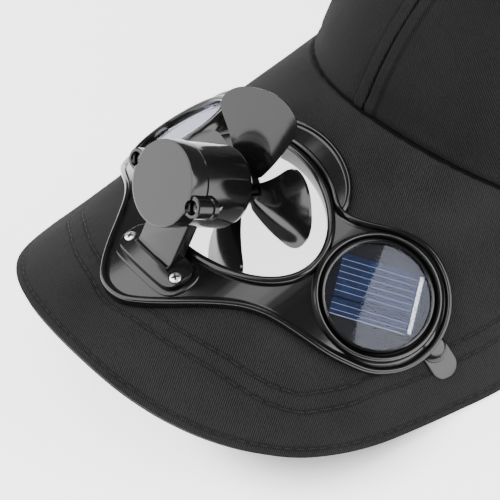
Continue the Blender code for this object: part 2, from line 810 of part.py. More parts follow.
def make_bracket(parent, motor, material, screw_material):
    base = FRAME_FLOOR + PAD_RISE + GAP
    top = base + FOOT_THICKNESS
    outline = foot_outline()
    edge = 0.3 * FOOT_THICKNESS
    foot = loft([
        inset(outline, 0.0, base),
        inset(outline, 0.0, top - edge),
        inset(outline, edge, top),
    ])
    bend(foot)
    bracket = add_object("bracket", foot, parent, material)
    tilt = math.radians(MOTOR_TILT)
    along = Vector((0.0, math.cos(tilt), -math.sin(tilt)))
    down = Vector((0.0, -math.sin(tilt), -math.cos(tilt)))
    face = Vector((0.0, -FACE_AHEAD, FACE_RISE))
    sunk = base + 0.4 * FOOT_THICKNESS
    front = face + along * STALK_PLACE
    rear = front + along * STALK_THICKNESS
    head = down * (0.6 * HOUSING_RADIUS)
    side = [
        front + head,
        front + down * ((front.z - sunk) / -down.z),
        rear + down * ((rear.z - sunk) / -down.z),
        rear + head,
    ]
    half = Vector((0.5 * STALK_WIDTH, 0.0, 0.0))
    stalk = add_object("join_stalk", loft([
        [point - half for point in side],
        [point + half for point in side],
    ]), parent)
    combine(bracket, as_cutter(stalk), "UNION")
    saddle = cylinder(HOUSING_RADIUS + GAP, -2.0 * HOUSING_LENGTH, 0.0, MOTOR_SIDES)
    combine(bracket, as_cutter(add_object("cutter_saddle", saddle, motor)), "DIFFERENCE")
    for across, name in ((-SCREW_ACROSS, "left"), (SCREW_ACROSS, "right")):
        seat = top - SCREW_SINK
        place = on_peak(across, -SCREW_AHEAD, seat)
        hole = lathe([
            (SCREW_SHANK_RADIUS + GAP, -CUT_REACH),
            (SCREW_SHANK_RADIUS + GAP, 0.0),
            (SCREW_HEAD_RADIUS + GAP, 0.0),
            (SCREW_HEAD_RADIUS + GAP, CUT_REACH),
        ], SCREW_SIDES)
        combine(bracket, as_cutter(
            add_object("cutter_bracket_screw_" + name, hole, parent, None, place)
        ), "DIFFERENCE")
        head_place = on_peak(across, -SCREW_AHEAD, seat + GAP + SCREW_HEAD_HEIGHT)
        make_screw("bracket_screw_" + name, parent, head_place, seat - 2.0 * GAP, screw_material)


def boss(side, start, end):
    """A round ear beside the housing, joined to it by a web."""
    across = side * BOSS_ACROSS
    loop = []
    for step in range(7):
        turn = math.pi * (step / 6 - 0.5)
        loop.append((across + side * BOSS_RADIUS * math.cos(turn), BOSS_RADIUS * math.sin(turn)))
    inner = side * 0.7 * HOUSING_RADIUS
    loop.append((inner, BOSS_RADIUS))
    loop.insert(0, (inner, -BOSS_RADIUS))
    return loft([[Vector((x, y, -depth)) for x, y in loop] for depth in (start, end)])


def rib(side, front):
    """Thin web that carries on from a boss along the housing's side."""
    bm = bmesh.new()
    bmesh.ops.create_cube(bm, size=1.0)
    far = BOSS_ACROSS + 0.5 * BOSS_RADIUS
    near = 0.7 * HOUSING_RADIUS
    for vert in bm.verts:
        outside = vert.co.x > 0.0
        vert.co.x = side * (far if outside else near)
        vert.co.y *= RIB_THICKNESS
        if vert.co.z > 0.0:
            vert.co.z = -RIB_LENGTH
            if outside:
                vert.co.x = side * (HOUSING_RADIUS + 0.5 * RIB_THICKNESS)
        else:
            vert.co.z = -front - GAP
    return bm


def make_housing(motor, material, screw_material):
    cap = add_object("housing_cap", lathe([
        (CAP_RADIUS, -CAP_LENGTH),
        (CAP_RADIUS, -CAP_CHAMFER),
        (CAP_RADIUS - CAP_CHAMFER, 0.0),
    ], MOTOR_SIDES), motor, material)
    front = CAP_LENGTH + GAP
    profile = [(HOUSING_RADIUS, -front)]
    straight = HOUSING_LENGTH - HOUSING_ROUND
    for step in range(5):
        turn = 0.5 * math.pi * step / 4
        profile.append((
            HOUSING_RADIUS - HOUSING_ROUND * (1.0 - math.cos(turn)),
            -straight - HOUSING_ROUND * math.sin(turn),
        ))
    housing = add_object("motor_housing", lathe(profile, MOTOR_SIDES), motor, material)
    bore = cylinder(
        SHAFT_RADIUS + SHAFT_PLAY, -2.0 * HOUSING_LENGTH, -SHAFT_START, SHAFT_SIDES
    )
    combine(housing, as_cutter(add_object("cutter_bore", bore, motor)), "DIFFERENCE")
    shank = 0.8 * (BOSS_LENGTH - BOSS_WELL_DEPTH)
    for side, name in ((-1.0, "left"), (1.0, "right")):
        cap_ear = boss(side, BOSS_SET_BACK, CAP_LENGTH - 0.5 * GAP)
        combine(cap, as_cutter(add_object("join_cap_boss_" + name, cap_ear, motor)), "UNION")
        housing_ear = boss(side, front + 0.5 * GAP, BOSS_LENGTH)
        ear = as_cutter(add_object("join_housing_boss_" + name, housing_ear, motor))
        combine(housing, ear, "UNION")
        web = as_cutter(add_object("join_rib_" + name, rib(side, front), motor))
        combine(housing, web, "UNION")
        place = Matrix.Translation((side * BOSS_ACROSS, 0.0, -BOSS_SET_BACK - BOSS_WELL_DEPTH))
        hole = lathe([
            (SCREW_SHANK_RADIUS + GAP, -shank),
            (SCREW_SHANK_RADIUS + GAP, 0.0),
            (BOSS_WELL_RADIUS, 0.0),
            (BOSS_WELL_RADIUS, CUT_REACH),
        ], SCREW_SIDES)
        cutter = as_cutter(add_object("cutter_boss_" + name, hole, motor, None, place))
        combine(cap, cutter, "DIFFERENCE")
        combine(housing, cutter, "DIFFERENCE")
        head = place @ Matrix.Translation((0.0, 0.0, GAP + SCREW_HEAD_HEIGHT))
        make_screw("housing_screw_" + name, motor, head, shank - GAP, screw_material)


def blade(number):
    """One blade as a closed skin of two curved sheets, root inside the hub."""
    root = 0.6 * HUB_RADIUS
    centre = math.radians(BLADE_START - number * 360.0 / BLADES)
    pitch = math.radians(BLADE_PITCH)
    bm = bmesh.new()
    front = []
    rear = []
    for per_cent in BLADE_SECTIONS:
        share = per_cent / 100.0
        half = BLADE_ROOT_HALF + (BLADE_TIP_HALF - BLADE_ROOT_HALF) * share
        corner = max(per_cent - BLADE_ROUND_FROM, 0) / (100.0 - BLADE_ROUND_FROM)
        half *= (1.0 - corner ** BLADE_CORNER) ** (1.0 / BLADE_CORNER)
        radius = root + (FAN_RADIUS - root) * share
        middle = centre + math.radians(BLADE_SWEEP) * share
        front_row = []
        rear_row = []
        for column in range(BLADE_COLUMNS + 1):
            side = 2.0 * column / BLADE_COLUMNS - 1.0
            turn = middle + side * half * math.cos(pitch) / max(radius, 1.3 * HUB_RADIUS)
            height = side * half * math.sin(pitch) + BLADE_CAMBER * share * (1.0 - side * side)
            spot = Vector((radius * math.cos(turn), radius * math.sin(turn), height - FAN_PLACE))
            lean = Vector((
                math.sin(turn) * math.sin(pitch), -math.cos(turn) * math.sin(pitch), math.cos(pitch),
            ))
            front_row.append(bm.verts.new(spot + 0.5 * BLADE_THICKNESS * lean))
            rear_row.append(bm.verts.new(spot - 0.5 * BLADE_THICKNESS * lean))
        front.append(front_row)
        rear.append(rear_row)
    for sheet in (front, rear):
        for low, high in zip(sheet, sheet[1:]):
            for index in range(BLADE_COLUMNS):
                bm.faces.new((low[index], low[index + 1], high[index + 1], high[index]))
    for end in (0, -1):
        for index in range(BLADE_COLUMNS):
            bm.faces.new((
                front[end][index], front[end][index + 1], rear[end][index + 1], rear[end][index],
            ))
        for row in range(len(BLADE_SECTIONS) - 1):
            bm.faces.new((front[row][end], front[row + 1][end], rear[row + 1][end], rear[row][end]))
    bmesh.ops.triangulate(bm, faces=bm.faces)
    return bm


def make_fan(motor, plastic, steel):
    front = HUB_FRONT - FAN_PLACE
    rear = -HUB_REAR - FAN_PLACE
    hub = lathe([
        (0.55 * HUB_RADIUS, rear),
        (HUB_RADIUS, rear + HUB_TAPER),
        (HUB_RADIUS, front - HUB_CHAMFER),
        (HUB_RADIUS - HUB_CHAMFER, front),
    ], HUB_SIDES)
    fan = add_object("fan", hub, motor, plastic)
    for number in range(BLADES):
        piece = add_object("join_blade_" + str(number + 1), blade(number), motor)
        combine(fan, as_cutter(piece), "UNION")
    shaft_end = -FAN_PLACE - SHAFT_IN_HUB
    bore = cylinder(SHAFT_RADIUS + GAP, shaft_end - GAP, 0.0, SHAFT_SIDES)
    combine(fan, as_cutter(add_object("cutter_hub_bore", bore, motor)), "DIFFERENCE")
    shaft = cylinder(SHAFT_RADIUS, shaft_end, -SHAFT_START - GAP, SHAFT_SIDES)
    add_object("fan_shaft", shaft, motor, steel)


def main():
    clear_scene()
    cloth = finish("black_cloth", BLACK_CLOTH, 0.9)
    peak_cloth = finish("black_peak_cloth", BLACK_CLOTH, 0.9)
    frame_plastic = finish("black_frame_plastic", BLACK_PLASTIC, 0.22)
    motor_plastic = finish("black_motor_plastic", BLACK_PLASTIC, 0.25)
    fan_plastic = finish("black_fan_plastic", BLACK_PLASTIC, 0.3)
    cell = finish("blue_solar_cell", (0.02, 0.03, 0.14), 0.25)
    cover = finish("clear_cover", (0.7, 0.72, 0.75), 0.05)
    zinc = finish("bright_zinc", (0.72, 0.72, 0.7), 0.3, 1.0)

    make_crown(cloth)
    make_button(cloth)
    unit = add_empty("fan_unit_origin", CENTRE_SHIFT @ PEAK_MATRIX)
    make_peak(unit, peak_cloth)
    make_frame(unit, frame_plastic)
    for side, name in ((-1.0, "left"), (1.0, "right")):
        make_window(side, name, unit, cell, cover)
    motor = add_empty("motor_axis", Matrix.Translation((0.0, -FACE_AHEAD, FACE_RISE))
                      @ Matrix.Rotation(math.radians(90.0 - MOTOR_TILT), 4, "X"), unit)
    make_bracket(unit, motor, motor_plastic, zinc)
    make_housing(motor, motor_plastic, zinc)
    make_fan(motor, fan_plastic, zinc)


main()
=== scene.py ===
"""Looks of the solar fan cap: twill cloth with its stitching, glossy black mouldings,
two solar windows, bright screws, a pale floor and soft studio light."""

import math

import bpy
import numpy as np
from mathutils import Matrix, Quaternion, Vector
from mathutils.kdtree import KDTree


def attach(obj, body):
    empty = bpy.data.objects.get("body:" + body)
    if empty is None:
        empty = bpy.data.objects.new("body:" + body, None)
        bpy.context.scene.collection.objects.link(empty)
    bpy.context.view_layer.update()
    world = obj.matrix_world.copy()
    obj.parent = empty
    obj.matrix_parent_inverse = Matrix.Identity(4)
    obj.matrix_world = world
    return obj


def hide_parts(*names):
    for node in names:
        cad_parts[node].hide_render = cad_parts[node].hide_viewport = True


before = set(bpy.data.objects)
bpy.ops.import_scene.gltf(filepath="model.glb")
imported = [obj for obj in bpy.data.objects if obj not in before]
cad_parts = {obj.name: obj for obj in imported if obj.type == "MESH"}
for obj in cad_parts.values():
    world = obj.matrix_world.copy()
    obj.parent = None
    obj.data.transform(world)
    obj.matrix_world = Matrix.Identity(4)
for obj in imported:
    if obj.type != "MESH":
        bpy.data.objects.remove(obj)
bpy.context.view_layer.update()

# Camera, in the fan unit's frame: azimuth, elevation and roll in degrees, then its place
CAMERA_ANGLES = (66.2344, 48.9665, -18.4747)
CAMERA_PLACE = (0.36512, -0.14740, 0.43550)
CAMERA_LENS = 135.60

# Places of the fan unit and of the motor
PEAK_HEIGHT = 0.046911
PEAK_TILT = 8.4
CENTRE_SHIFT = -0.10055
MOTOR_TILT = 43.87
FACE_AHEAD = 0.0071
FACE_RISE = 0.0284

# Crown
CROWN_HALF_WIDTH = 0.0805
CROWN_HALF_LENGTH = 0.1019
CROWN_HEIGHT = 0.1082
CROWN_ROUNDNESS = 2.16
CROWN_SETBACK = 0.1545
CLOTH_WALL = 0.0022
PANELS = 6
FLAT_RIM_FROM = 142.0
BUTTON_RADIUS = 0.0068
BUTTON_HEIGHT = 0.0036

# Peak
PEAK_BEND_RADIUS = 0.0886
PEAK_THICKNESS = 0.0030
PEAK_REACH = 0.0559
PEAK_END_ACROSS = 0.093894
PEAK_END_BACK = 0.124072
PEAK_HALF_SPAN = 0.104994
PEAK_TIP_WIDTH = 0.0032
PEAK_EDGE = (
    (0.000, 0.000), (0.191, 0.007), (0.336, 0.025), (0.458, 0.053), (0.563, 0.089),
    (0.655, 0.132), (0.737, 0.183), (0.803, 0.243), (0.857, 0.311), (0.899, 0.385),
    (0.937, 0.463), (0.972, 0.542), (0.994, 0.634), (1.000, 0.721), (0.990, 0.809),
    (0.965, 0.891),
)
# Outer row of stitches on the peak: across, back, in millimetres
STITCH_ROW = (
    (0.0, -38.0), (11.6, -35.6), (26.0, -32.6), (41.2, -27.5), (49.8, -24.8),
    (58.4, -20.9), (66.5, -14.7), (70.1, -8.7), (74.0, -0.8), (76.6, 8.8),
    (81.0, 22.0), (85.3, 38.8), (87.5, 51.6), (89.5, 70.0), (90.5, 90.0),
)
STITCH_ROW_GAP = 0.0055
EDGE_ROW_IN = 0.0026
SEAM_ROW_OUT = 0.005
THREAD_HALF_WIDTH = 0.00019
THREAD_HALF_HEIGHT = 0.00011
THREAD_SINK = 0.00002
SEAM_STITCH_PITCH = 0.0036
SEAM_STITCH_HALF = 0.0013
SEAM_STITCHES_FROM = 0.004
SEAM_STITCHES_TO = 0.985
CROWN_MEAN_RADIUS = 0.1
TWILL_ACROSS = math.cos(math.radians(33.0))
TWILL_ALONG = math.sin(math.radians(33.0))
TWILL_PITCH = 0.00064

# Air hole, windows and frame
HOLE_HALF_WIDTH = 0.0335
HOLE_HALF_DEPTH = 0.0230
HOLE_BACK = 0.0150
RIM_WALL = 0.0015
WINDOW_ACROSS = 0.0535
WINDOW_BACK = 0.0260
WINDOW_RADIUS = 0.01665
WELL_FLOOR = 0.0009
CELL_THICKNESS = 0.0006
COVER_SHOWN = 0.0004
CELL_TURN = 37.0
CELL_FRONT = 0.0090
CELL_REAR = 0.0105
FRAME_NOSE = 0.0361
FRAME_LOBE = 0.0236
FRAME_BACK_RIM = 0.0050
FRAME_FLOOR = 0.0020
LIP_WIDTH = 0.0022
FRAME_FRONT = (
    (0.000, 1.000), (0.090, 0.988), (0.200, 0.870), (0.318, 0.690), (0.426, 0.501),
    (0.540, 0.321), (0.626, 0.213), (0.729, 0.127), (0.847, 0.064), (0.974, 0.003),
    (1.090, -0.058), (1.204, -0.150),
)
LOBE_ARC = (-42.0, -14.0, 14.0, 42.0, 70.0, 98.0)
FRAME_WAIST = ((0.757, 1.712), (0.640, 1.515))
EAR_BACK = 0.0330
EAR_HALF_WIDTH = 0.0273
EAR_DEPTH = 0.0174
TAB_END = 0.0870
TAB_STEP = 0.0810
TAB_BACK = 0.0313
TAB_HALF_WIDTH = 0.0045
TAB_FLOOR = 0.0012
TAB_RISE = 0.0019

# Pattern of the solar cells, on their map
LINE_PITCH = 0.0020
LINE_START = 0.0086
LINES_END = 0.0110
BORDER_PLACE = -0.00885
BARE_PLACE = -0.0034
CUT_FROM = 0.0133
BAR_PLACE = 0.0122
BAR_HALF_WIDTH = 0.0006
BAR_END_GAP = 0.0006

# Motor, bracket and screws
CAP_RADIUS = 0.0134
CAP_LENGTH = 0.0065
HOUSING_RADIUS = 0.0131
HOUSING_LENGTH = 0.0278
HOUSING_ROUND = 0.0040
BOSS_ACROSS = 0.0146
BOSS_RADIUS = 0.0034
BOSS_WELL_RADIUS = 0.0023
BOSS_WELL_DEPTH = 0.0022
BOSS_SET_BACK = 0.0007
WELL_DEEPER = 0.0008
BOSS_LENGTH = 0.0090
RIB_LENGTH = 0.0140
RIB_THICKNESS = 0.0016
SHAFT_RADIUS = 0.0010
FOOT_FRONT = 0.0232
FOOT_DEPTH = 0.0116
FOOT_HALF_WIDTH = 0.0143
FOOT_THICKNESS = 0.0014
PAD_RISE = 0.0005
PAD_MARGIN = 0.0020
STALK_WIDTH = 0.0166
STALK_PLACE = 0.0091
STALK_THICKNESS = 0.0045
SCREW_ACROSS = 0.0116
SCREW_AHEAD = 0.0184
SCREW_HEAD_RADIUS = 0.0019
SCREW_HEAD_HEIGHT = 0.0011
SCREW_SINK = 0.0006
GAP = 0.0003
SIDES = ((-1.0, "left"), (1.0, "right"))
TOOL_ENDS = (-0.01, 0.01)

# Fan
FAN_PLACE = 0.0345
FAN_RADIUS = 0.0315
BLADES = 4
BLADE_START = 90.0
BLADE_SWEEP = 17.5
BLADE_PITCH = 20.0
BLADE_ROOT_HALF = 0.0029
BLADE_TIP_HALF = 0.0172
BLADE_THICKNESS = 0.0013
BLADE_CAMBER = 0.0016
BLADE_ROUND_FROM = 0.68
BLADE_CORNER = 2.3
HUB_RADIUS = 0.0056
HUB_FRONT = 0.0050
HUB_REAR = 0.0044
HUB_TAPER = 0.0026

UNIT = (
    Matrix.Translation((0.0, CENTRE_SHIFT, PEAK_HEIGHT))
    @ Matrix.Rotation(math.radians(PEAK_TILT), 4, "X")
)
TO_PEAK = (
    Matrix.Translation((0.0, 0.0, PEAK_HEIGHT))
    @ Matrix.Rotation(math.radians(PEAK_TILT), 4, "X")
)
FROM_PEAK = TO_PEAK.inverted()
MOTOR = (
    UNIT @ Matrix.Translation((0.0, -FACE_AHEAD, FACE_RISE))
    @ Matrix.Rotation(math.radians(90.0 - MOTOR_TILT), 4, "X")
)
CROWN = Matrix.Translation((0.0, CENTRE_SHIFT, 0.0))
HAT_MIDDLE = Vector((0.0, -0.06, 0.06))


# Camera and stage

def add_camera():
    azimuth, elevation, roll = (math.radians(angle) for angle in CAMERA_ANGLES)
    back = Vector((
        math.sin(azimuth) * math.cos(elevation),
        -math.cos(azimuth) * math.cos(elevation),
        math.sin(elevation),
    ))
    level = Vector((math.cos(azimuth), math.sin(azimuth), 0.0))
    rise = back.cross(level)
    right = math.cos(roll) * level + math.sin(roll) * rise
    up = -math.sin(roll) * level + math.cos(roll) * rise
    place = Matrix((right, up, back)).transposed().to_4x4()
    place.translation = Vector(CAMERA_PLACE)
    data = bpy.data.cameras.new("photo_camera")
    data.sensor_width = 36.0
    data.lens = CAMERA_LENS
    data.clip_start = 0.01
    camera = bpy.data.objects.new("photo_camera", data)
    bpy.context.scene.collection.objects.link(camera)
    camera.matrix_world = UNIT @ place
    bpy.context.scene.camera = camera


def soft_light(name, azimuth, elevation, roll, width, height, radiance, shift=(0.0, 0.0),
               shape="RECTANGLE"):
    """A soft light one metre from the hat, shifted sideways and up in its own plane."""
    turn, climb = math.radians(azimuth), math.radians(elevation)
    away = Vector((
        math.cos(turn) * math.cos(climb), math.sin(turn) * math.cos(climb), math.sin(climb),
    ))
    facing = (-away).to_track_quat("-Z", "Y") @ Quaternion((0.0, 0.0, 1.0), math.radians(-roll))
    data = bpy.data.lights.new(name, "AREA")
    data.shape = shape
    data.size = width
    data.size_y = height
    data.energy = radiance * math.pi * width * height
    light = bpy.data.objects.new(name, data)
    bpy.context.scene.collection.objects.link(light)
    light.rotation_euler = facing.to_euler()
    light.location = HAT_MIDDLE + away + facing @ Vector((shift[0], shift[1], 0.0))


add_camera()


# Modelling by hand

def deselect():
    if bpy.context.object is not None and bpy.context.object.mode != "OBJECT":
        bpy.ops.object.mode_set(mode="OBJECT")
    bpy.ops.object.select_all(action="DESELECT")


def take(piece):
    deselect()
    piece.select_set(True)
    bpy.context.view_layer.objects.active = piece
    return piece


def into_edit(kind="FACE", everything=True):
    bpy.ops.object.mode_set(mode="EDIT")
    bpy.ops.mesh.select_mode(type=kind)
    if everything:
        bpy.ops.mesh.select_all(action="SELECT")


def out_of_edit():
    bpy.ops.object.mode_set(mode="OBJECT")


def outward(piece):
    take(piece)
    into_edit()
    bpy.ops.mesh.normals_make_consistent(inside=False)
    out_of_edit()
    return piece


def lofted(name, loops, ring=False):
    """A circle set to the first loop and extruded to each next one. A ring closes on itself."""
    deselect()
    bpy.ops.mesh.primitive_circle_add(
        vertices=len(loops[0]), radius=1.0, fill_type="NOTHING" if ring else "NGON"
    )
    piece = bpy.context.object
    piece.name = name
    for vertex, point in zip(piece.data.vertices, loops[0]):
        vertex.co = point
    before = loops[0]
    for loop in list(loops[1:]) + ([loops[0]] if ring else []):
        into_edit("EDGE" if ring else "FACE", before is loops[0])
        bpy.ops.mesh.extrude_region_move()
        out_of_edit()
        tree = KDTree(len(before))
        for index, point in enumerate(before):
            tree.insert(point, index)
        tree.balance()
        for vertex in piece.data.vertices:
            if vertex.select:
                vertex.co = loop[tree.find(vertex.co)[1]]
        before = loop
    if ring:
        into_edit("VERT")
        bpy.ops.mesh.remove_doubles(threshold=0.000001)
        out_of_edit()
    return outward(piece)


def turned(name, profile, sides):
    """A profile of radius and height turned round Z."""
    turns = [math.tau * (index + 0.5) / sides for index in range(sides)]
    return lofted(name, [
        [Vector((radius * math.cos(turn), radius * math.sin(turn), height)) for turn in turns]
        for radius, height in profile
    ])


def drill(radius, floor, sides):
    """A tool for a round hole, from its floor up through the open side."""
    return turned("drill_tool", [(radius, floor), (radius, TOOL_ENDS[1])], sides)


def with_modifier(piece, kind, **settings):
    take(piece)
    bpy.ops.object.modifier_add(type=kind)
    modifier = piece.modifiers[-1]
    for key, value in settings.items():
        setattr(modifier, key, value)
    bpy.ops.object.modifier_apply(modifier=modifier.name)
    return piece


def joined(piece, other, operation="UNION"):
    with_modifier(piece, "BOOLEAN", operation=operation, object=other, solver="EXACT")
    bpy.data.objects.remove(other, do_unlink=True)
    return piece


def rounded(piece, width, segments, angle):
    return with_modifier(
        piece, "BEVEL", width=width, segments=segments, limit_method="ANGLE",
        angle_limit=math.radians(angle),
    )


def placed(piece, matrix):
    take(piece)
    piece.matrix_world = matrix
    bpy.ops.object.transform_apply(location=True, rotation=True, scale=True)
    return piece


def sliced(piece, step):
    """Cuts straight across the piece, so that it can follow the peak's curve."""
    take(piece)
    places = [vertex.co.x for vertex in piece.data.vertices]
    for number in range(math.ceil(min(places) / step), math.floor(max(places) / step) + 1):
        into_edit()
        bpy.ops.mesh.bisect(plane_co=(number * step, 0.0, 0.0), plane_no=(1.0, 0.0, 0.0))
        out_of_edit()
    return piece


def bent(piece):
    """Wraps a flat layout round the peak's curve."""
    places = [vertex.co.x for vertex in piece.data.vertices]
    width = max(places) - min(places)
    quarter = Matrix.Rotation(math.radians(-90.0), 4, "X")
    placed(piece, quarter)
    with_modifier(
        piece, "SIMPLE_DEFORM", deform_method="BEND", deform_axis="Z",
        angle=-width / PEAK_BEND_RADIUS,
    )
    return placed(piece, quarter.inverted())


def flat_map(piece):
    """A map in metres of the piece as it lies flat, for patterns that follow the surface."""
    mesh = piece.data
    if not mesh.uv_layers:
        mesh.uv_layers.new()
    mesh.uv_layers[0].name = "flat"
    for corner, place in zip(mesh.loops, mesh.uv_layers[0].data):
        place.uv = mesh.vertices[corner.vertex_index].co.xy


def point_value(piece, name, values):
    layer = piece.data.attributes.new(name, "FLOAT", "POINT")
    layer.data.foreach_set("value", np.asarray(values, dtype=np.float32))


def copied(piece, name):
    other = piece.copy()
    other.data = piece.data.copy()
    other.name = name
    bpy.context.scene.collection.objects.link(other)
    return other


def finished(piece, body, material, slot, *nodes, angle=35.0):
    take(piece)
    bpy.ops.object.shade_smooth_by_angle(angle=math.radians(angle))
    piece.data.materials.clear()
    piece.data.materials.append(material)
    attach(piece, body)
    if nodes:
        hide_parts(*nodes)
    return piece


# Curves and places

def ellipse(half_width, half_depth, centre_back, height):
    turns = (math.tau * index / 128 for index in range(128))
    return [
        Vector((half_width * math.cos(turn), centre_back + half_depth * math.sin(turn), height))
        for turn in turns
    ]


def hole_loop(out, height):
    """An ellipse at a distance outside the air hole's edge."""
    return ellipse(HOLE_HALF_WIDTH + out, HOLE_HALF_DEPTH + out, HOLE_BACK, height)


def smooth_points(points, steps, closed):
    count = len(points)
    result = []
    for index in range(count if closed else count - 1):
        if closed:
            around = [points[(index + shift) % count] for shift in (-1, 0, 1, 2)]
        else:
            around = [points[min(max(index + shift, 0), count - 1)] for shift in (-1, 0, 1, 2)]
        before, start, end, after = around
        for step in range(steps):
            u = step / steps
            result.append(0.5 * (
                2.0 * start + (end - before) * u
                + (2.0 * before - 5.0 * start + 4.0 * end - after) * u * u
                + (3.0 * start - before - 3.0 * end + after) * u ** 3
            ))
    if not closed:
        result.append(points[-1].copy())
    return result


def resample(points, count, closed):
    track = points + [points[0]] if closed else points
    lengths = [0.0]
    for start, end in zip(track, track[1:]):
        lengths.append(lengths[-1] + (end - start).length)
    result = []
    place = 0
    for index in range(count):
        wanted = lengths[-1] * index / (count if closed else count - 1)
        while place < len(lengths) - 2 and lengths[place + 1] < wanted:
            place += 1
        share = (wanted - lengths[place]) / (lengths[place + 1] - lengths[place])
        result.append(track[place].lerp(track[place + 1], min(share, 1.0)))
    return result


def eased(loop, reach):
    """Each point of a closed loop moved to the middle of its neighbours."""
    count = 2 * reach + 1
    return [
        sum((loop[(index + shift) % len(loop)] for shift in range(-reach, reach + 1)), Vector())
        / count
        for index in range(len(loop))
    ]


def inset(loop, distance, height):
    result = []
    for index, point in enumerate(loop):
        along = (loop[(index + 1) % len(loop)] - loop[index - 1]).normalized()
        result.append(Vector((point.x - along.y * distance, point.y + along.x * distance, height)))
    return result


def mirrored_line(half):
    return [Vector((-point.x, point.y, 0.0)) for point in reversed(half[1:])] + half


def bend_point(across, back, rise):
    turn = across / PEAK_BEND_RADIUS
    reach = PEAK_BEND_RADIUS + rise
    return Vector((reach * math.sin(turn), back, reach * math.cos(turn) - PEAK_BEND_RADIUS))


def on_peak(across, back, rise):
    turn = across / PEAK_BEND_RADIUS
    return (
        UNIT @ Matrix.Translation(bend_point(across, back, rise))
        @ Matrix.Rotation(turn, 4, "Y")
    )


def dome_level(point):
    """Below 1 inside the crown, above 1 outside it."""
    across = point.x / CROWN_HALF_WIDTH
    along = (point.y - CROWN_SETBACK) / CROWN_HALF_LENGTH
    ring = math.hypot(across, along)
    return ring ** CROWN_ROUNDNESS + (abs(point.z) / CROWN_HEIGHT) ** CROWN_ROUNDNESS


def ring_at(level):
    """Share of the crown's width that is left at a share of its height."""
    return max(1.0 - level ** CROWN_ROUNDNESS, 0.0) ** (1.0 / CROWN_ROUNDNESS)


def turn_width(turn):
    """Distance over the rim for each radian of turn."""
    return math.hypot(CROWN_HALF_WIDTH * math.cos(turn), CROWN_HALF_LENGTH * math.sin(turn))


def dome_point(turn, level, shrink):
    ring = ring_at(level)
    width = CROWN_HALF_WIDTH - shrink
    length = CROWN_HALF_LENGTH - shrink
    return Vector((
        width * ring * math.sin(turn),
        CROWN_SETBACK - length * ring * math.cos(turn),
        (CROWN_HEIGHT - shrink) * level,
    ))


def seam_back(across):
    near, far = 0.0, CROWN_SETBACK
    for _ in range(40):
        middle = 0.5 * (near + far)
        if dome_level(TO_PEAK @ bend_point(across, middle, 0.0)) > 1.0:
            near = middle
        else:
            far = middle
    return far


def rim_level(turn, below):
    """Height share where the crown meets a surface so far below the peak's upper side."""
    low, high = 0.0, 0.95
    for _ in range(40):
        middle = 0.5 * (low + high)
        spot = FROM_PEAK @ dome_point(turn, middle, 0.0)
        if math.hypot(spot.x, spot.z + PEAK_BEND_RADIUS) - PEAK_BEND_RADIUS + below > 0.0:
            high = middle
        else:
            low = middle
    return high


def smooth_step(low, high, value):
    share = np.clip((value - low) / (high - low), 0.0, 1.0)
    return share * share * (3.0 - 2.0 * share)


# Cloth

def dent(value, centre, width):
    """1 at the centre, fading to 0 on both sides of it."""
    return math.exp(-((value - centre) / width) ** 2)


def distance_to(spots, line):
    """Signed distance of flat spots from a line, positive on its left."""
    best = np.full(len(spots), 1.0)
    signed = np.full(len(spots), 1.0)
    for start, end in zip(line, line[1:]):
        along = end - start
        length = np.hypot(*along)
        away = spots - start
        share = np.clip(away @ along / length ** 2, 0.0, 1.0)
        offset = away - share[:, None] * along
        distance = np.hypot(offset[:, 0], offset[:, 1])
        side = np.sign(along[0] * away[:, 1] - along[1] * away[:, 0])
        nearer = distance < best
        best[nearer] = distance[nearer]
        signed[nearer] = (distance * side)[nearer]
    return signed


def flat_line(line):
    return np.array([(point.x, point.y) for point in line])


def peak_edge(count):
    half = [
        Vector((across * PEAK_HALF_SPAN, -PEAK_REACH + share * (PEAK_REACH + PEAK_END_BACK), 0.0))
        for across, share in PEAK_EDGE
    ]
    half.append(Vector((PEAK_END_ACROSS + PEAK_TIP_WIDTH, PEAK_END_BACK, 0.0)))
    return resample(smooth_points(mirrored_line(half), 8, False), count + 1, False)


def stitch_line():
    half = [Vector((across, back, 0.0)) * 0.001 for across, back in STITCH_ROW]
    return smooth_points(mirrored_line(half), 6, False)


def slack(across, back):
    """How far the cloth of the peak rises and falls."""
    return 0.00018 * math.sin(across * 95.0 + 2.0 * math.sin(back * 70.0))


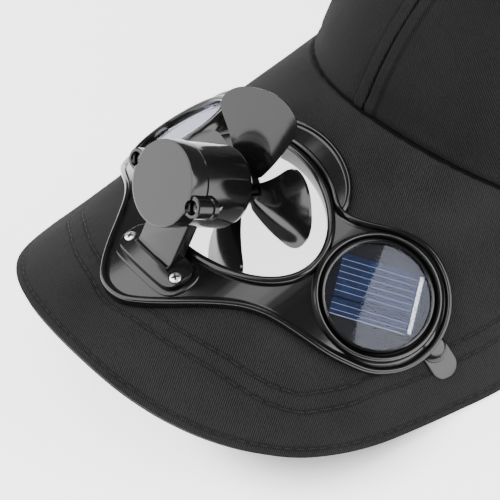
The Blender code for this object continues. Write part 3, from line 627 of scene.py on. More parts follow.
def make_peak_cloth(material):
    columns, rows = 200, 84
    edge = peak_edge(columns)
    seam = []
    for index in range(columns + 1):
        across = PEAK_END_ACROSS * (2.0 * index / columns - 1.0)
        seam.append(Vector((across, seam_back(across) + 0.6 * CLOTH_WALL, 0.0)))
    deselect()
    bpy.ops.mesh.primitive_grid_add(x_subdivisions=columns, y_subdivisions=rows, size=2.0)
    piece = bpy.context.object
    piece.name = "peak_cloth"
    for vertex in piece.data.vertices:
        column = round(0.5 * (vertex.co.x + 1.0) * columns)
        row = 0.5 * (vertex.co.y + 1.0)
        share = 1.0 - (row - 0.12 * math.sin(math.tau * row))
        spot = seam[column].lerp(edge[column], share)
        from_seam = (spot - seam[column]).length - 0.6 * CLOTH_WALL
        pucker = 1.0 + 0.12 * math.sin(spot.x * 911.0) + 0.12 * math.sin(spot.x * 487.0 + 1.3)
        dip = 0.0005 * pucker * dent(max(from_seam, 0.0), 0.0, 0.0007)
        loose = float(smooth_step(0.0, 0.02, from_seam))
        vertex.co = (spot.x, spot.y, loose * slack(spot.x, spot.y) - dip)
    outward(piece)
    if sum(polygon.normal.z for polygon in piece.data.polygons) < 0.0:
        piece.data.flip_normals()
    with_modifier(piece, "SOLIDIFY", thickness=PEAK_THICKNESS, offset=-1.0)
    rounded(piece, 0.0011, 4, 60.0)
    hole = lofted("hole_tool", [hole_loop(RIM_WALL + GAP, height) for height in TOOL_ENDS])
    joined(piece, hole, "DIFFERENCE")
    flat_map(piece)
    spots = np.array([(vertex.co.x, vertex.co.y) for vertex in piece.data.vertices])
    point_value(piece, "row", distance_to(spots, flat_line(stitch_line())))
    point_value(piece, "edge", np.abs(distance_to(spots, flat_line(edge))))
    point_value(piece, "seam", np.abs(distance_to(spots, flat_line(seam))))
    bent(piece)
    placed(piece, UNIT)
    return finished(piece, "hat", material, "peak_cloth", "peak", angle=50.0)


def rim_height(turn, end_turn, end_level):
    flat_turn = math.radians(FLAT_RIM_FROM)
    if turn <= end_turn:
        return rim_level(turn, PEAK_THICKNESS)
    share = min((turn - end_turn) / (flat_turn - end_turn), 1.0)
    return end_level * (1.0 - share) ** 2


# Columns from a seam to the panel's middle, as parts of the last one, and rows above the
# rim, in millimetres
SEAM_STEPS = (0.0, 0.3, 0.6, 1.0, 1.6, 2.6, 3.6, 4.3, 4.8, 5.3, 5.9, 7.0, 9.0, 12.0, 16.0, 21.0,
              27.0, 34.0, 41.0, 47.7)
RIM_STEPS = (0.0, 0.5, 1.0, 1.5, 2.0, 2.5, 3.0, 3.4, 3.8, 4.2, 4.6, 5.0, 5.5, 6.1, 7.0, 8.2, 10.0,
             12.5)


def crown_turns():
    half = [step / SEAM_STEPS[-1] * math.pi / PANELS for step in SEAM_STEPS]
    turns = []
    for panel in range(PANELS):
        start = -math.pi + panel * math.tau / PANELS
        turns += [start + step for step in half[:-1]]
        turns += [start + math.tau / PANELS - step for step in reversed(half[1:])]
    return turns + [math.pi]


def crown_end():
    end = TO_PEAK @ bend_point(PEAK_END_ACROSS, PEAK_END_BACK, 0.0)
    end_turn = math.atan2(end.x / CROWN_HALF_WIDTH, (CROWN_SETBACK - end.y) / CROWN_HALF_LENGTH)
    return end_turn, rim_level(end_turn, PEAK_THICKNESS)


def seam_gap(turn, ring):
    """Distance over the cloth to the nearest seam between panels."""
    step = math.tau / PANELS
    away = abs((turn + 0.5 * step) % step - 0.5 * step)
    return away * ring * turn_width(turn)


def crown_spot(turn, height, top):
    """Place on the crown's cloth; top is how high the peak reaches there."""
    level = min(max(height / CROWN_HEIGHT, 0.0), 1.0)
    ring = ring_at(level)
    gap = seam_gap(turn, ring)
    groove = 0.0009 * dent(gap, 0.0, 0.00045)
    folded = 0.0004 * (1.0 - float(smooth_step(0.0044, 0.0056, gap)))
    drawn = 0.0003 * dent(gap, SEAM_ROW_OUT, 0.0006)
    waves = 0.0003 * math.sin(7.0 * turn + 60.0 * height) * ring
    relief = (folded + waves - groove - drawn) * float(smooth_step(0.0, 0.15, ring))
    if top is not None:
        above = height - top
        pucker = 1.0 + 0.14 * math.sin(71.0 * turn) + 0.14 * math.sin(43.0 * turn + 1.3)
        relief -= 0.0005 * (1.0 - float(smooth_step(0.0, 0.0007, above)))
        relief += 0.0004 * pucker * dent(above, 0.0022, 0.0010)
        relief -= 0.0003 * pucker * dent(above, 0.0052, 0.0009)
    return dome_point(turn, level, 0.0006 - relief), ring, gap


def make_crown_cloth(material):
    turns = crown_turns()
    end_turn, end_level = crown_end()
    columns, upper = len(turns) - 1, 64
    rows = len(RIM_STEPS) - 1 + upper
    deselect()
    bpy.ops.mesh.primitive_grid_add(x_subdivisions=columns, y_subdivisions=rows, size=2.0)
    piece = bpy.context.object
    piece.name = "crown_cloth"
    rims = [rim_height(abs(turn), end_turn, end_level) * CROWN_HEIGHT for turn in turns]
    tops = [
        rim_level(abs(turn), 0.0) * CROWN_HEIGHT if abs(turn) < end_turn else None
        for turn in turns
    ]
    facts = []
    for vertex in piece.data.vertices:
        column = round(0.5 * (vertex.co.x + 1.0) * columns)
        row = round(0.5 * (vertex.co.y + 1.0) * rows)
        rim = rims[column]
        if row < len(RIM_STEPS):
            height = rim + 0.001 * RIM_STEPS[row]
        else:
            share = math.sin(0.5 * math.pi * (row - len(RIM_STEPS) + 1) / upper)
            base = rim + 0.001 * RIM_STEPS[-1]
            height = base + (CROWN_HEIGHT - base) * share
        spot, ring, gap = crown_spot(turns[column], height, tops[column])
        spot.z = height if row < rows else CROWN_HEIGHT - 0.0006
        vertex.co = spot
        crease = tops[column] if tops[column] is not None else 0.5 * rim
        facts.append((turns[column], ring, gap, height - crease))
    for name, values in zip(("turn", "ring", "gap", "above"), zip(*facts)):
        point_value(piece, name, values)
    take(piece)
    into_edit("VERT")
    bpy.ops.mesh.remove_doubles(threshold=0.00001)
    out_of_edit()
    outward(piece)
    with_modifier(piece, "SOLIDIFY", thickness=0.8 * CLOTH_WALL, offset=-1.0)
    rounded(piece, 0.0005, 3, 60.0)
    gore_map(piece)
    placed(piece, CROWN)
    return finished(piece, "hat", material, "crown_cloth", "crown", angle=50.0)


def gore_map(piece):
    """A map in metres of each panel laid flat: from its middle line, and up from the rim."""
    mesh = piece.data
    turns = [item.value for item in mesh.attributes["turn"].data]
    rings = [item.value for item in mesh.attributes["ring"].data]
    layer = mesh.uv_layers[0]
    layer.name = "flat"
    step = math.tau / PANELS
    for polygon in mesh.polygons:
        centre = polygon.center
        middle = math.atan2(
            centre.x / CROWN_HALF_WIDTH, (CROWN_SETBACK - centre.y) / CROWN_HALF_LENGTH
        )
        panel = (math.floor(middle / step) + 0.5) * step
        wide = turn_width(middle)
        for corner in polygon.loop_indices:
            vertex = mesh.loops[corner].vertex_index
            away = (turns[vertex] - panel + math.pi) % math.tau - math.pi
            ring = rings[vertex]
            climb = 0.09 * math.asin(min(max(1.0 - ring, 0.0), 1.0))
            layer.data[corner].uv = (away * ring * wide, climb + 0.5 * mesh.vertices[vertex].co.z)


def make_button(material):
    profile = [(BUTTON_RADIUS * 0.94, 0.0)]
    for step in range(1, 12):
        turn = math.radians(8.0 * step)
        profile.append((BUTTON_RADIUS * math.cos(turn) ** 0.8, BUTTON_HEIGHT * math.sin(turn)))
    piece = turned("button_cloth", profile, 64)
    flat_map(piece)
    placed(piece, CROWN @ Matrix.Translation((0.0, CROWN_SETBACK, CROWN_HEIGHT - 0.0002)))
    return finished(piece, "hat", material, "crown_cloth", "top_button", angle=60.0)


def make_stitches(name, places, half_length, material, slot):
    """One short thread, copied along a row and joined to one piece."""
    deselect()
    bpy.ops.mesh.primitive_uv_sphere_add(segments=8, ring_count=6, radius=1.0)
    thread = bpy.context.object
    thread.name = name
    thread.data.transform(Matrix.Rotation(math.radians(90.0), 4, "Y"))
    thread.data.transform(Matrix.Diagonal(
        (half_length, THREAD_HALF_WIDTH, THREAD_HALF_HEIGHT, 1.0)
    ))
    deselect()
    for number, place in enumerate(places[1:]):
        other = copied(thread, name + "_" + str(number))
        other.data.transform(place)
        other.select_set(True)
    thread.data.transform(places[0])
    thread.select_set(True)
    bpy.context.view_layer.objects.active = thread
    bpy.ops.object.join()
    thread.name = name
    return finished(thread, "hat", material, slot, angle=80.0)


def row_places(line, pitch):
    """Matrices along a flat line on the peak where it isn't covered, X along the row."""
    length = sum((end - start).length for start, end in zip(line, line[1:]))
    count = max(int(length / pitch), 2)
    points = resample(line, 2 * count + 1, False)
    places = []
    for number in range(count):
        spot = points[2 * number + 1]
        along = points[2 * number + 2] - points[2 * number]
        if covered(spot):
            continue
        turn = Matrix.Rotation(math.atan2(along.y, along.x), 4, "Z")
        wobble = 0.00008 * math.sin(2.7 * number)
        level = slack(spot.x, spot.y) - THREAD_SINK
        places.append(on_peak(spot.x, spot.y + wobble, level) @ turn)
    return places


def covered(spot):
    """True under the frame's lobes and close to the crown."""
    from_window = math.hypot(abs(spot.x) - WINDOW_ACROSS, spot.y - WINDOW_BACK)
    return (
        abs(spot.x) > WINDOW_ACROSS - FRAME_LOBE and from_window < FRAME_LOBE + 0.001
    ) or spot.y > seam_back(min(abs(spot.x), PEAK_END_ACROSS)) - 0.003


def beside(line, distance):
    """An open line moved over to its left."""
    last = len(line) - 1
    result = []
    for index, point in enumerate(line):
        along = (line[min(index + 1, last)] - line[max(index - 1, 0)]).normalized()
        result.append(Vector((point.x - along.y * distance, point.y + along.x * distance, 0.0)))
    return result


def peak_stitches(material):
    line = stitch_line()
    for name, row, pitch, half_length in (
        ("outer", line, 0.0044, 0.0021),
        ("inner", beside(line, STITCH_ROW_GAP), 0.0044, 0.0021),
        ("edge", beside(peak_edge(160), EDGE_ROW_IN), 0.0037, 0.0015),
    ):
        make_stitches("stitches_peak_" + name, row_places(row, pitch), half_length, material,
                      "peak_cloth")


def crown_row(seam, side, heights):
    """Matrices along a row beside a seam, X along the row and Z out of the cloth."""
    points = []
    for height in heights:
        turn = seam + side * SEAM_ROW_OUT / (ring_at(height / CROWN_HEIGHT) * turn_width(seam))
        points.append(crown_spot(turn, height, None)[0])
    places = []
    for before, spot, after in zip(points, points[1:], points[2:]):
        along = (after - before).normalized()
        out = Vector((
            spot.x / CROWN_HALF_WIDTH ** 2, (spot.y - CROWN_SETBACK) / CROWN_HALF_LENGTH ** 2,
            spot.z / CROWN_HEIGHT ** 2,
        )).normalized()
        side_way = out.cross(along).normalized()
        place = Matrix((along, side_way, along.cross(side_way))).transposed().to_4x4()
        place.translation = spot
        places.append(CROWN @ place)
    return places


def crown_stitches(material):
    end_turn, end_level = crown_end()
    high = math.asin(SEAM_STITCHES_TO)
    for panel in range(PANELS):
        seam = -math.pi + panel * math.tau / PANELS
        if abs(seam) < end_turn:
            rim = rim_level(abs(seam), 0.0)
        else:
            rim = rim_height(abs(seam), end_turn, end_level)
        low = math.asin((rim * CROWN_HEIGHT + SEAM_STITCHES_FROM) / CROWN_HEIGHT)
        last = int((high - low) * CROWN_MEAN_RADIUS / SEAM_STITCH_PITCH) + 1
        heights = [
            CROWN_HEIGHT * math.sin(low + (high - low) * number / last)
            for number in range(last + 1)
        ]
        places = crown_row(seam, -1.0, heights) + crown_row(seam, 1.0, heights)
        make_stitches("stitches_seam_" + str(panel + 1), places, SEAM_STITCH_HALF, material,
                      "crown_cloth")


# Mouldings

def frame_outline():
    half = [
        Vector((across * WINDOW_ACROSS, -ahead * FRAME_NOSE, 0.0))
        for across, ahead in FRAME_FRONT
    ]
    for angle in LOBE_ARC:
        turn = math.radians(angle)
        half.append(Vector((
            WINDOW_ACROSS + FRAME_LOBE * math.cos(turn),
            WINDOW_BACK + FRAME_LOBE * math.sin(turn), 0.0,
        )))
    for across, back in FRAME_WAIST:
        half.append(Vector((across * WINDOW_ACROSS, back * WINDOW_BACK, 0.0)))
    wide = HOLE_HALF_WIDTH + FRAME_BACK_RIM
    deep = HOLE_HALF_DEPTH + FRAME_BACK_RIM
    for angle in (47.0, 59.0, 74.0, 90.0):
        turn = math.radians(angle)
        half.append(Vector((wide * math.cos(turn), HOLE_BACK + deep * math.sin(turn), 0.0)))
    half[-1].x = 0.0
    other = [Vector((-point.x, point.y, 0.0)) for point in reversed(half[1:-1])]
    return eased(resample(smooth_points(half + other, 8, True), 260, True), 2)


# Profiles as distance and height: out from the opening for RIM and WINDOW, in from the
# outline for the others
TRAY = ((0.0, 0.0003), (0.0, 0.0022), (0.0001, 0.0028), (0.0003, 0.0033), (0.0007, 0.00362),
        (0.0011, 0.0037), (0.0015, 0.00355), (0.0018, 0.0032), (0.0020, 0.0027),
        (0.0022, 0.0023), (0.0028, 0.0020), (0.0031, 0.0020))
RIM = ((0.0, -0.0040), (0.0, 0.0033), (0.0002, 0.0037), (0.0006, 0.0040), (0.0011, 0.0041),
       (0.0016, 0.0040), (0.0021, 0.0037), (0.0024, 0.0032), (0.00255, 0.0024),
       (0.0027, 0.0010), (0.0015, 0.0006), (0.0015, -0.0040))
EAR = ((0.0, 0.0003), (0.0, 0.0016), (0.0002, 0.0021), (0.0005, 0.0024), (0.0008, 0.0025),
       (0.0011, 0.0024), (0.0014, 0.0020), (0.0016, 0.0016), (0.0020, 0.0014), (0.0023, 0.0014))
WINDOW = ((0.0, 0.0009), (0.0, 0.0034), (0.00012, 0.0036), (0.00045, 0.00372), (0.00078, 0.0036),
          (0.0010, 0.0032), (0.0011, 0.0026), (0.0012, 0.0019), (0.0014, 0.0016),
          (0.0016, 0.0017), (0.0018, 0.0024), (0.0020, 0.0034), (0.0023, 0.0038),
          (0.0027, 0.0039), (0.0031, 0.0038), (0.0034, 0.0034), (0.0036, 0.0028),
          (0.0038, 0.0022), (0.0038, -0.0024))
PAD = ((0.0, 0.5 * FRAME_FLOOR), (0.0, FRAME_FLOOR + 0.4 * PAD_RISE),
       (0.3 * PAD_RISE, FRAME_FLOOR + 0.8 * PAD_RISE), (0.8 * PAD_RISE, FRAME_FLOOR + PAD_RISE),
       (1.2 * PAD_RISE, FRAME_FLOOR + PAD_RISE))
TONGUE = ((0.0, GAP), (0.0, TAB_FLOOR - 0.0003), (0.0003, TAB_FLOOR))
STEP = ((0.0, GAP), (0.0, TAB_RISE - 0.0008), (0.0003, TAB_RISE - 0.0003), (0.0009, TAB_RISE),
        (0.0018, TAB_RISE + 0.0002), (0.0030, TAB_RISE + 0.0003))


def make_frame(material):
    outline = frame_outline()
    plate = lofted("frame_plate", [inset(outline, *step) for step in TRAY])
    throat = lofted("throat_tool", [hole_loop(0.5 * RIM_WALL, height) for height in TOOL_ENDS])
    joined(plate, throat, "DIFFERENCE")
    for side in (-1.0, 1.0):
        well = drill(WINDOW_RADIUS + 0.002, TOOL_ENDS[0], 96)
        well.data.transform(Matrix.Translation((side * WINDOW_ACROSS, WINDOW_BACK, 0.0)))
        joined(plate, well, "DIFFERENCE")
    rim = lofted("frame_rim", [hole_loop(*step) for step in RIM], True)
    ear = lofted("frame_ear", [
        ellipse(EAR_HALF_WIDTH - step, EAR_DEPTH - step, EAR_BACK, height) for step, height in EAR
    ])
    keep_out = lofted("keep_out_tool", [
        inset(outline, 0.4 * LIP_WIDTH, height) for height in TOOL_ENDS
    ])
    joined(ear, keep_out, "DIFFERENCE")
    foot = foot_outline()
    pad = lofted("frame_pad", [inset(foot, step - PAD_MARGIN, height) for step, height in PAD])
    pieces = [plate, rim, ear, pad]
    for side, name in SIDES:
        for kind, end, steps in (("tab_", TAB_END, TONGUE), ("tab_step_", TAB_STEP, STEP)):
            loops = [tab_loop(side, end, *step) for step in steps]
            pieces.append(lofted("frame_" + kind + name, loops))
    for piece in pieces:
        sliced(piece, 0.0025)
        bent(piece)
        placed(piece, UNIT)
        finished(piece, "hat", material, "frame_plastic", "fan_frame", angle=32.0)
    for side, name in SIDES:
        profile = [(WINDOW_RADIUS + out, height) for out, height in WINDOW]
        ring = turned("frame_ring_" + name, profile, 128)
        placed(ring, on_peak(side * WINDOW_ACROSS, WINDOW_BACK, 0.0))
        finished(ring, "hat", material, "frame_plastic", "fan_frame", angle=32.0)


def tab_loop(side, end, step, height):
    start = WINDOW_ACROSS + 0.7 * FRAME_LOBE
    half = TAB_HALF_WIDTH - step
    loop = [Vector((start, TAB_BACK - half, height))]
    for number in range(25):
        turn = math.pi * (number / 24 - 0.5)
        loop.append(Vector((
            end - TAB_HALF_WIDTH + half * math.cos(turn), TAB_BACK + half * math.sin(turn), height,
        )))
    loop.append(Vector((start, TAB_BACK + half, height)))
    for point in loop:
        point.x *= side
    if side < 0.0:
        loop.reverse()
    return loop


def foot_outline():
    corners = (
        (-0.74, 1.00), (0.74, 1.00), (0.98, 0.68), (0.98, 0.30),
        (0.76, 0.00), (-0.76, 0.00), (-0.98, 0.30), (-0.98, 0.68),
    )
    back = FOOT_FRONT - FOOT_DEPTH
    points = [Vector((x * FOOT_HALF_WIDTH, -back - y * FOOT_DEPTH, 0.0)) for x, y in corners]
    return eased(resample(smooth_points(points, 8, True), 96, True), 3)


def make_bracket(material):
    base = FRAME_FLOOR + PAD_RISE + GAP
    top = base + FOOT_THICKNESS
    outline = foot_outline()
    foot = lofted("bracket_foot", [
        inset(outline, 0.0, base), inset(outline, 0.0, top - 0.0004),
        inset(outline, 0.00012, top - 0.00012), inset(outline, 0.0004, top),
        inset(outline, 0.0006, top),
    ])
    for side in (-1.0, 1.0):
        seat = drill(SCREW_HEAD_RADIUS + GAP, top - SCREW_SINK, 48)
        seat.data.transform(Matrix.Translation((side * SCREW_ACROSS, -SCREW_AHEAD, 0.0)))
        joined(foot, seat, "DIFFERENCE")
    sliced(foot, 0.002)
    bent(foot)
    placed(foot, UNIT)
    finished(foot, "hat", material, "motor_plastic", "bracket", angle=32.0)

    tilt = math.radians(MOTOR_TILT)
    along = Vector((0.0, math.cos(tilt), -math.sin(tilt)))
    down = Vector((0.0, -math.sin(tilt), -math.cos(tilt)))
    face = Vector((0.0, -FACE_AHEAD, FACE_RISE))
    sunk = base + 0.4 * FOOT_THICKNESS
    front = face + along * STALK_PLACE
    rear = front + along * STALK_THICKNESS
    head = down * (0.6 * HOUSING_RADIUS)
    reach = (front.z - top) / -down.z
    fillet = 0.0016
    flare = [
        front + down * (reach - fillet * (1.0 - math.sin(turn)))
        - along * (fillet * (1.0 - math.cos(turn)))
        for turn in (math.radians(15.0 * step) for step in range(7))
    ]
    side = [front + head] + flare + [
        flare[-1] + Vector((0.0, -0.0002, sunk - flare[-1].z)),
        rear + down * ((rear.z - sunk) / -down.z),
        rear + head,
    ]
    half = Vector((0.5 * STALK_WIDTH, 0.0, 0.0))
    stalk = lofted("bracket_stalk", [
        [point - half for point in side], [point + half for point in side],
    ])
    rounded(stalk, 0.0004, 3, 50.0)
    placed(stalk, UNIT)
    inner = HOUSING_RADIUS - 0.0002
    saddle = turned("saddle_tool", [(inner, -0.05), (inner, 0.0)], 96)
    placed(saddle, MOTOR)
    joined(stalk, saddle, "DIFFERENCE")
    finished(stalk, "hat", material, "motor_plastic", "bracket", angle=32.0)


def make_screw(material):
    """Pan head with its top at z = 0 and a cross recess."""
    radius = SCREW_HEAD_RADIUS
    shank, crown = 0.0009, 0.0006
    profile = [(shank, -0.003), (shank, -SCREW_HEAD_HEIGHT), (radius - 0.0001, -SCREW_HEAD_HEIGHT),
               (radius, -SCREW_HEAD_HEIGHT + 0.0001)]
    for step in range(1, 8):
        turn = math.radians(12.0 * step)
        profile.append((
            radius - 0.55 * radius * (1.0 - math.cos(turn)), -crown + crown * math.sin(turn),
        ))
    screw = turned("screw", profile, 48)
    slot, reach = 0.19 * radius, 0.66 * radius
    corners = [
        (slot, slot), (slot, reach), (-slot, reach), (-slot, slot), (-reach, slot), (-reach, -slot),
        (-slot, -slot), (-slot, -reach), (slot, -reach), (slot, -slot), (reach, -slot), (reach, slot),
    ]
    cross = lofted("cross_tool", [
        [Vector((0.55 * x, 0.55 * y, -0.0011)) for x, y in corners],
        [Vector((x, y, -0.0001)) for x, y in corners],
        [Vector((x, y, 0.001)) for x, y in corners],
    ])
    joined(screw, cross, "DIFFERENCE")
    # Painted shade: the cross recess is marked here to be coloured near-black.
    point_value(screw, "recess", [
        float(vertex.co.z < -0.0006 and math.hypot(vertex.co.x, vertex.co.y) < 0.5 * radius)
        for vertex in screw.data.vertices
    ])
    seat = FRAME_FLOOR + PAD_RISE + GAP + FOOT_THICKNESS - SCREW_SINK
    depth = BOSS_SET_BACK + BOSS_WELL_DEPTH + WELL_DEEPER - SCREW_HEAD_HEIGHT
    places = [
        ("bracket_screw_" + name, turn,
         on_peak(side * SCREW_ACROSS, -SCREW_AHEAD, seat + SCREW_HEAD_HEIGHT))
        for (side, name), turn in zip(SIDES, (0.5, 1.1))
    ] + [
        ("housing_screw_" + name, 0.8,
         MOTOR @ Matrix.Translation((side * BOSS_ACROSS, 0.0, -depth)))
        for side, name in SIDES
    ]
    for name, turn, place in places:
        piece = copied(screw, "zinc_" + name)
        placed(piece, place @ Matrix.Rotation(turn, 4, "Z"))
        finished(piece, "hat", material, "zinc", name, angle=30.0)
    bpy.data.objects.remove(screw, do_unlink=True)


def boss(name, side, start, end):
    across = side * BOSS_ACROSS
    inner = side * 0.7 * HOUSING_RADIUS
    rows = []
    for depth, trim in ((start, 0.0003), (start + 0.0003, 0.0), (end, 0.0)):
        radius = BOSS_RADIUS - trim
        loop = [(inner, -radius)]
        for step in range(25):
            turn = math.pi * (step / 24 - 0.5)
            loop.append((across + side * radius * math.cos(turn), radius * math.sin(turn)))
        loop.append((inner, radius))
        rows.append([Vector((x, y, -depth)) for x, y in loop])
    return lofted(name, rows)


def make_motor(material):
    cap = turned("motor_cap", [
        (CAP_RADIUS - 0.0003, -CAP_LENGTH), (CAP_RADIUS, -CAP_LENGTH + 0.0003),
        (CAP_RADIUS, -0.0005), (CAP_RADIUS - 0.0001, -0.0002),
        (CAP_RADIUS - 0.0005, 0.0), (CAP_RADIUS - 0.0008, 0.0),
    ], 128)
    front = CAP_LENGTH + GAP
    profile = [(HOUSING_RADIUS - 0.0004, -front), (HOUSING_RADIUS, -front - 0.0004)]
    straight = HOUSING_LENGTH - HOUSING_ROUND
    for step in range(11):
        turn = 0.5 * math.pi * step / 10
        profile.append((
            HOUSING_RADIUS - HOUSING_ROUND * (1.0 - math.cos(turn)),
            -straight - HOUSING_ROUND * math.sin(turn),
        ))
    housing = turned("motor_pod", profile, 128)
    for side in (-1.0, 1.0):
        joined(cap, boss("boss_tool", side, BOSS_SET_BACK, CAP_LENGTH - 0.5 * GAP))
        joined(housing, boss("boss_tool", side, front + 0.5 * GAP, BOSS_LENGTH))
        near, far = side * 0.7 * HOUSING_RADIUS, side * (BOSS_ACROSS + 0.5 * BOSS_RADIUS)
        half = 0.5 * RIB_THICKNESS
        loops = []
        for height, trim in ((-half, 0.0002), (-0.8 * half, 0.0), (0.8 * half, 0.0), (half, 0.0002)):
            tip = side * (HOUSING_RADIUS + 0.5 * RIB_THICKNESS - trim)
            edge = far - side * trim
            loops.append([Vector((x, height, -z)) for x, z in (
                (near, front + GAP), (edge, front + GAP), (edge, BOSS_LENGTH), (tip, RIB_LENGTH - trim),
                (near, RIB_LENGTH - trim),
            )])
        joined(housing, lofted("rib_tool", loops))
        for piece in (cap, housing):
            well = drill(BOSS_WELL_RADIUS, -BOSS_WELL_DEPTH - BOSS_SET_BACK - WELL_DEEPER, 48)
            well.data.transform(Matrix.Translation((side * BOSS_ACROSS, 0.0, 0.0)))
            joined(piece, well, "DIFFERENCE")
    for piece, node in ((cap, "housing_cap"), (housing, "motor_housing")):
        finished(placed(piece, MOTOR), "hat", material, "motor_plastic", node, angle=28.0)


def make_fan(material, steel):
    hub_front, hub_rear = HUB_FRONT - FAN_PLACE, -HUB_REAR - FAN_PLACE
    profile = [(0.30 * HUB_RADIUS, hub_rear), (0.62 * HUB_RADIUS, hub_rear + 0.0004),
               (0.88 * HUB_RADIUS, hub_rear + 0.0013), (HUB_RADIUS, hub_rear + HUB_TAPER),
               (HUB_RADIUS, hub_front - 0.0005), (HUB_RADIUS - 0.00015, hub_front - 0.00015),
               (HUB_RADIUS - 0.0005, hub_front)]
    hub = turned("fan_hub", profile, 64)
    finished(placed(hub, MOTOR), "rotor", material, "fan_plastic", "fan", angle=32.0)
    deselect()
    columns, rows, straight_rows = 28, 40, 22
    bpy.ops.mesh.primitive_grid_add(x_subdivisions=columns, y_subdivisions=rows, size=2.0)
    first = bpy.context.object
    root = 0.6 * HUB_RADIUS
    pitch = math.radians(BLADE_PITCH)
    for vertex in first.data.vertices:
        side = vertex.co.x
        row = round(0.5 * (vertex.co.y + 1.0) * rows)
        round_turn = math.radians(80.0) * max(row - straight_rows, 0) / (rows - straight_rows)
        share = BLADE_ROUND_FROM * min(row / straight_rows, 1.0)
        share += (1.0 - BLADE_ROUND_FROM) * math.sin(round_turn)
        wide = BLADE_ROOT_HALF + (BLADE_TIP_HALF - BLADE_ROOT_HALF) * share
        corner = max(share - BLADE_ROUND_FROM, 0.0) / (1.0 - BLADE_ROUND_FROM)
        half = wide * (1.0 - corner ** BLADE_CORNER) ** (1.0 / BLADE_CORNER)
        radius = root + (FAN_RADIUS - root) * share
        middle = math.radians(BLADE_START) + math.radians(BLADE_SWEEP) * share
        turn = middle + side * half * math.cos(pitch) / max(radius, 1.3 * HUB_RADIUS)
        bulge = 1.0 - (side * half / wide) ** 2
        height = side * half * math.sin(pitch) + BLADE_CAMBER * share * bulge
        vertex.co = (radius * math.cos(turn), radius * math.sin(turn), height - FAN_PLACE)
    outward(first)
    with_modifier(first, "SOLIDIFY", thickness=0.85 * BLADE_THICKNESS, offset=0.0)
    for number in range(BLADES):
        piece = copied(first, "fan_blade_" + str(number + 1))
        placed(piece, MOTOR @ Matrix.Rotation(-math.tau * number / BLADES, 4, "Z"))
        finished(piece, "rotor", material, "fan_plastic", "fan", angle=50.0)
    bpy.data.objects.remove(first, do_unlink=True)
    ends = (-FAN_PLACE - 0.0028, -0.0205)
    shaft = turned("motor_shaft", [(SHAFT_RADIUS, end) for end in ends], 32)
    finished(placed(shaft, MOTOR), "rotor", steel, "zinc", "fan_shaft")


def wafer_loop(radius, height, trim):
    """A circle cut straight at the front and at the back."""
    loop = []
    for turn in (math.tau * index / 160 for index in range(160)):
        reach = radius - trim
        back = min(max(reach * math.sin(turn), -CELL_FRONT + trim), CELL_REAR - trim)
        loop.append(Vector((reach * math.cos(turn), back, height)))
    return loop


def bar_loop(side, height, trim):
    """The uneven outline of the solder bar."""
    outer, inner = [], []
    half = BAR_HALF_WIDTH - trim
    start, length = BAR_END_GAP - CELL_FRONT, CELL_FRONT + CELL_REAR - 2.0 * BAR_END_GAP
    for step in range(40):
        back = start + length * step / 39
        wave = 0.00010 * math.sin(2.1 * step) + 0.00006 * math.sin(5.3 * step)
        outer.append(Vector((side * (BAR_PLACE + half + wave), back, height)))
        wave = 0.00010 * math.sin(1.7 * step + 1.0)
        inner.append(Vector((side * (BAR_PLACE - half + wave), back, height)))
    return outer + inner[::-1]


def make_windows(cell_material, silver, cover_material, bed_material):
    radius = WINDOW_RADIUS - 0.0001
    low = WELL_FLOOR + GAP
    for side, name in SIDES:
        place = on_peak(side * WINDOW_ACROSS, WINDOW_BACK, 0.0)
        turn_cell = Matrix.Rotation(side * math.radians(CELL_TURN), 4, "Z")
        ends = (WELL_FLOOR - 0.0001, low - 0.0001)
        bed = turned("window_bed_" + name, [(radius, end) for end in ends], 96)
        finished(placed(bed, place), "hat", bed_material, "frame_plastic")
        top = low + CELL_THICKNESS
        cell = lofted("solar_wafer_" + name, [
            wafer_loop(radius, low, 0.0), wafer_loop(radius, top - 0.0001, 0.0),
            wafer_loop(radius, top, 0.0001),
        ])
        flat_map(cell)
        if side < 0.0:
            for item in cell.data.uv_layers[0].data:
                item.uv.x = -item.uv.x
        finished(placed(cell, place @ turn_cell), "hat", cell_material, "solar_cell", "solar_cell_" + name)
        ribbon = lofted("solder_ribbon_" + name, [
            bar_loop(side, top - 0.0001, 0.0), bar_loop(side, top + 0.00012, 0.0),
            bar_loop(side, top + 0.0002, 0.0001),
        ])
        finished(placed(ribbon, place @ turn_cell), "hat", silver, "zinc")
        base = top + GAP
        cover = turned("window_glass_" + name, [
            (radius, base), (radius, base + COVER_SHOWN - 0.0001),
            (radius - 0.0001, base + COVER_SHOWN),
        ], 128)
        finished(placed(cover, place), "hat", cover_material, "clear_cover", "solar_cover_" + name)


# Materials

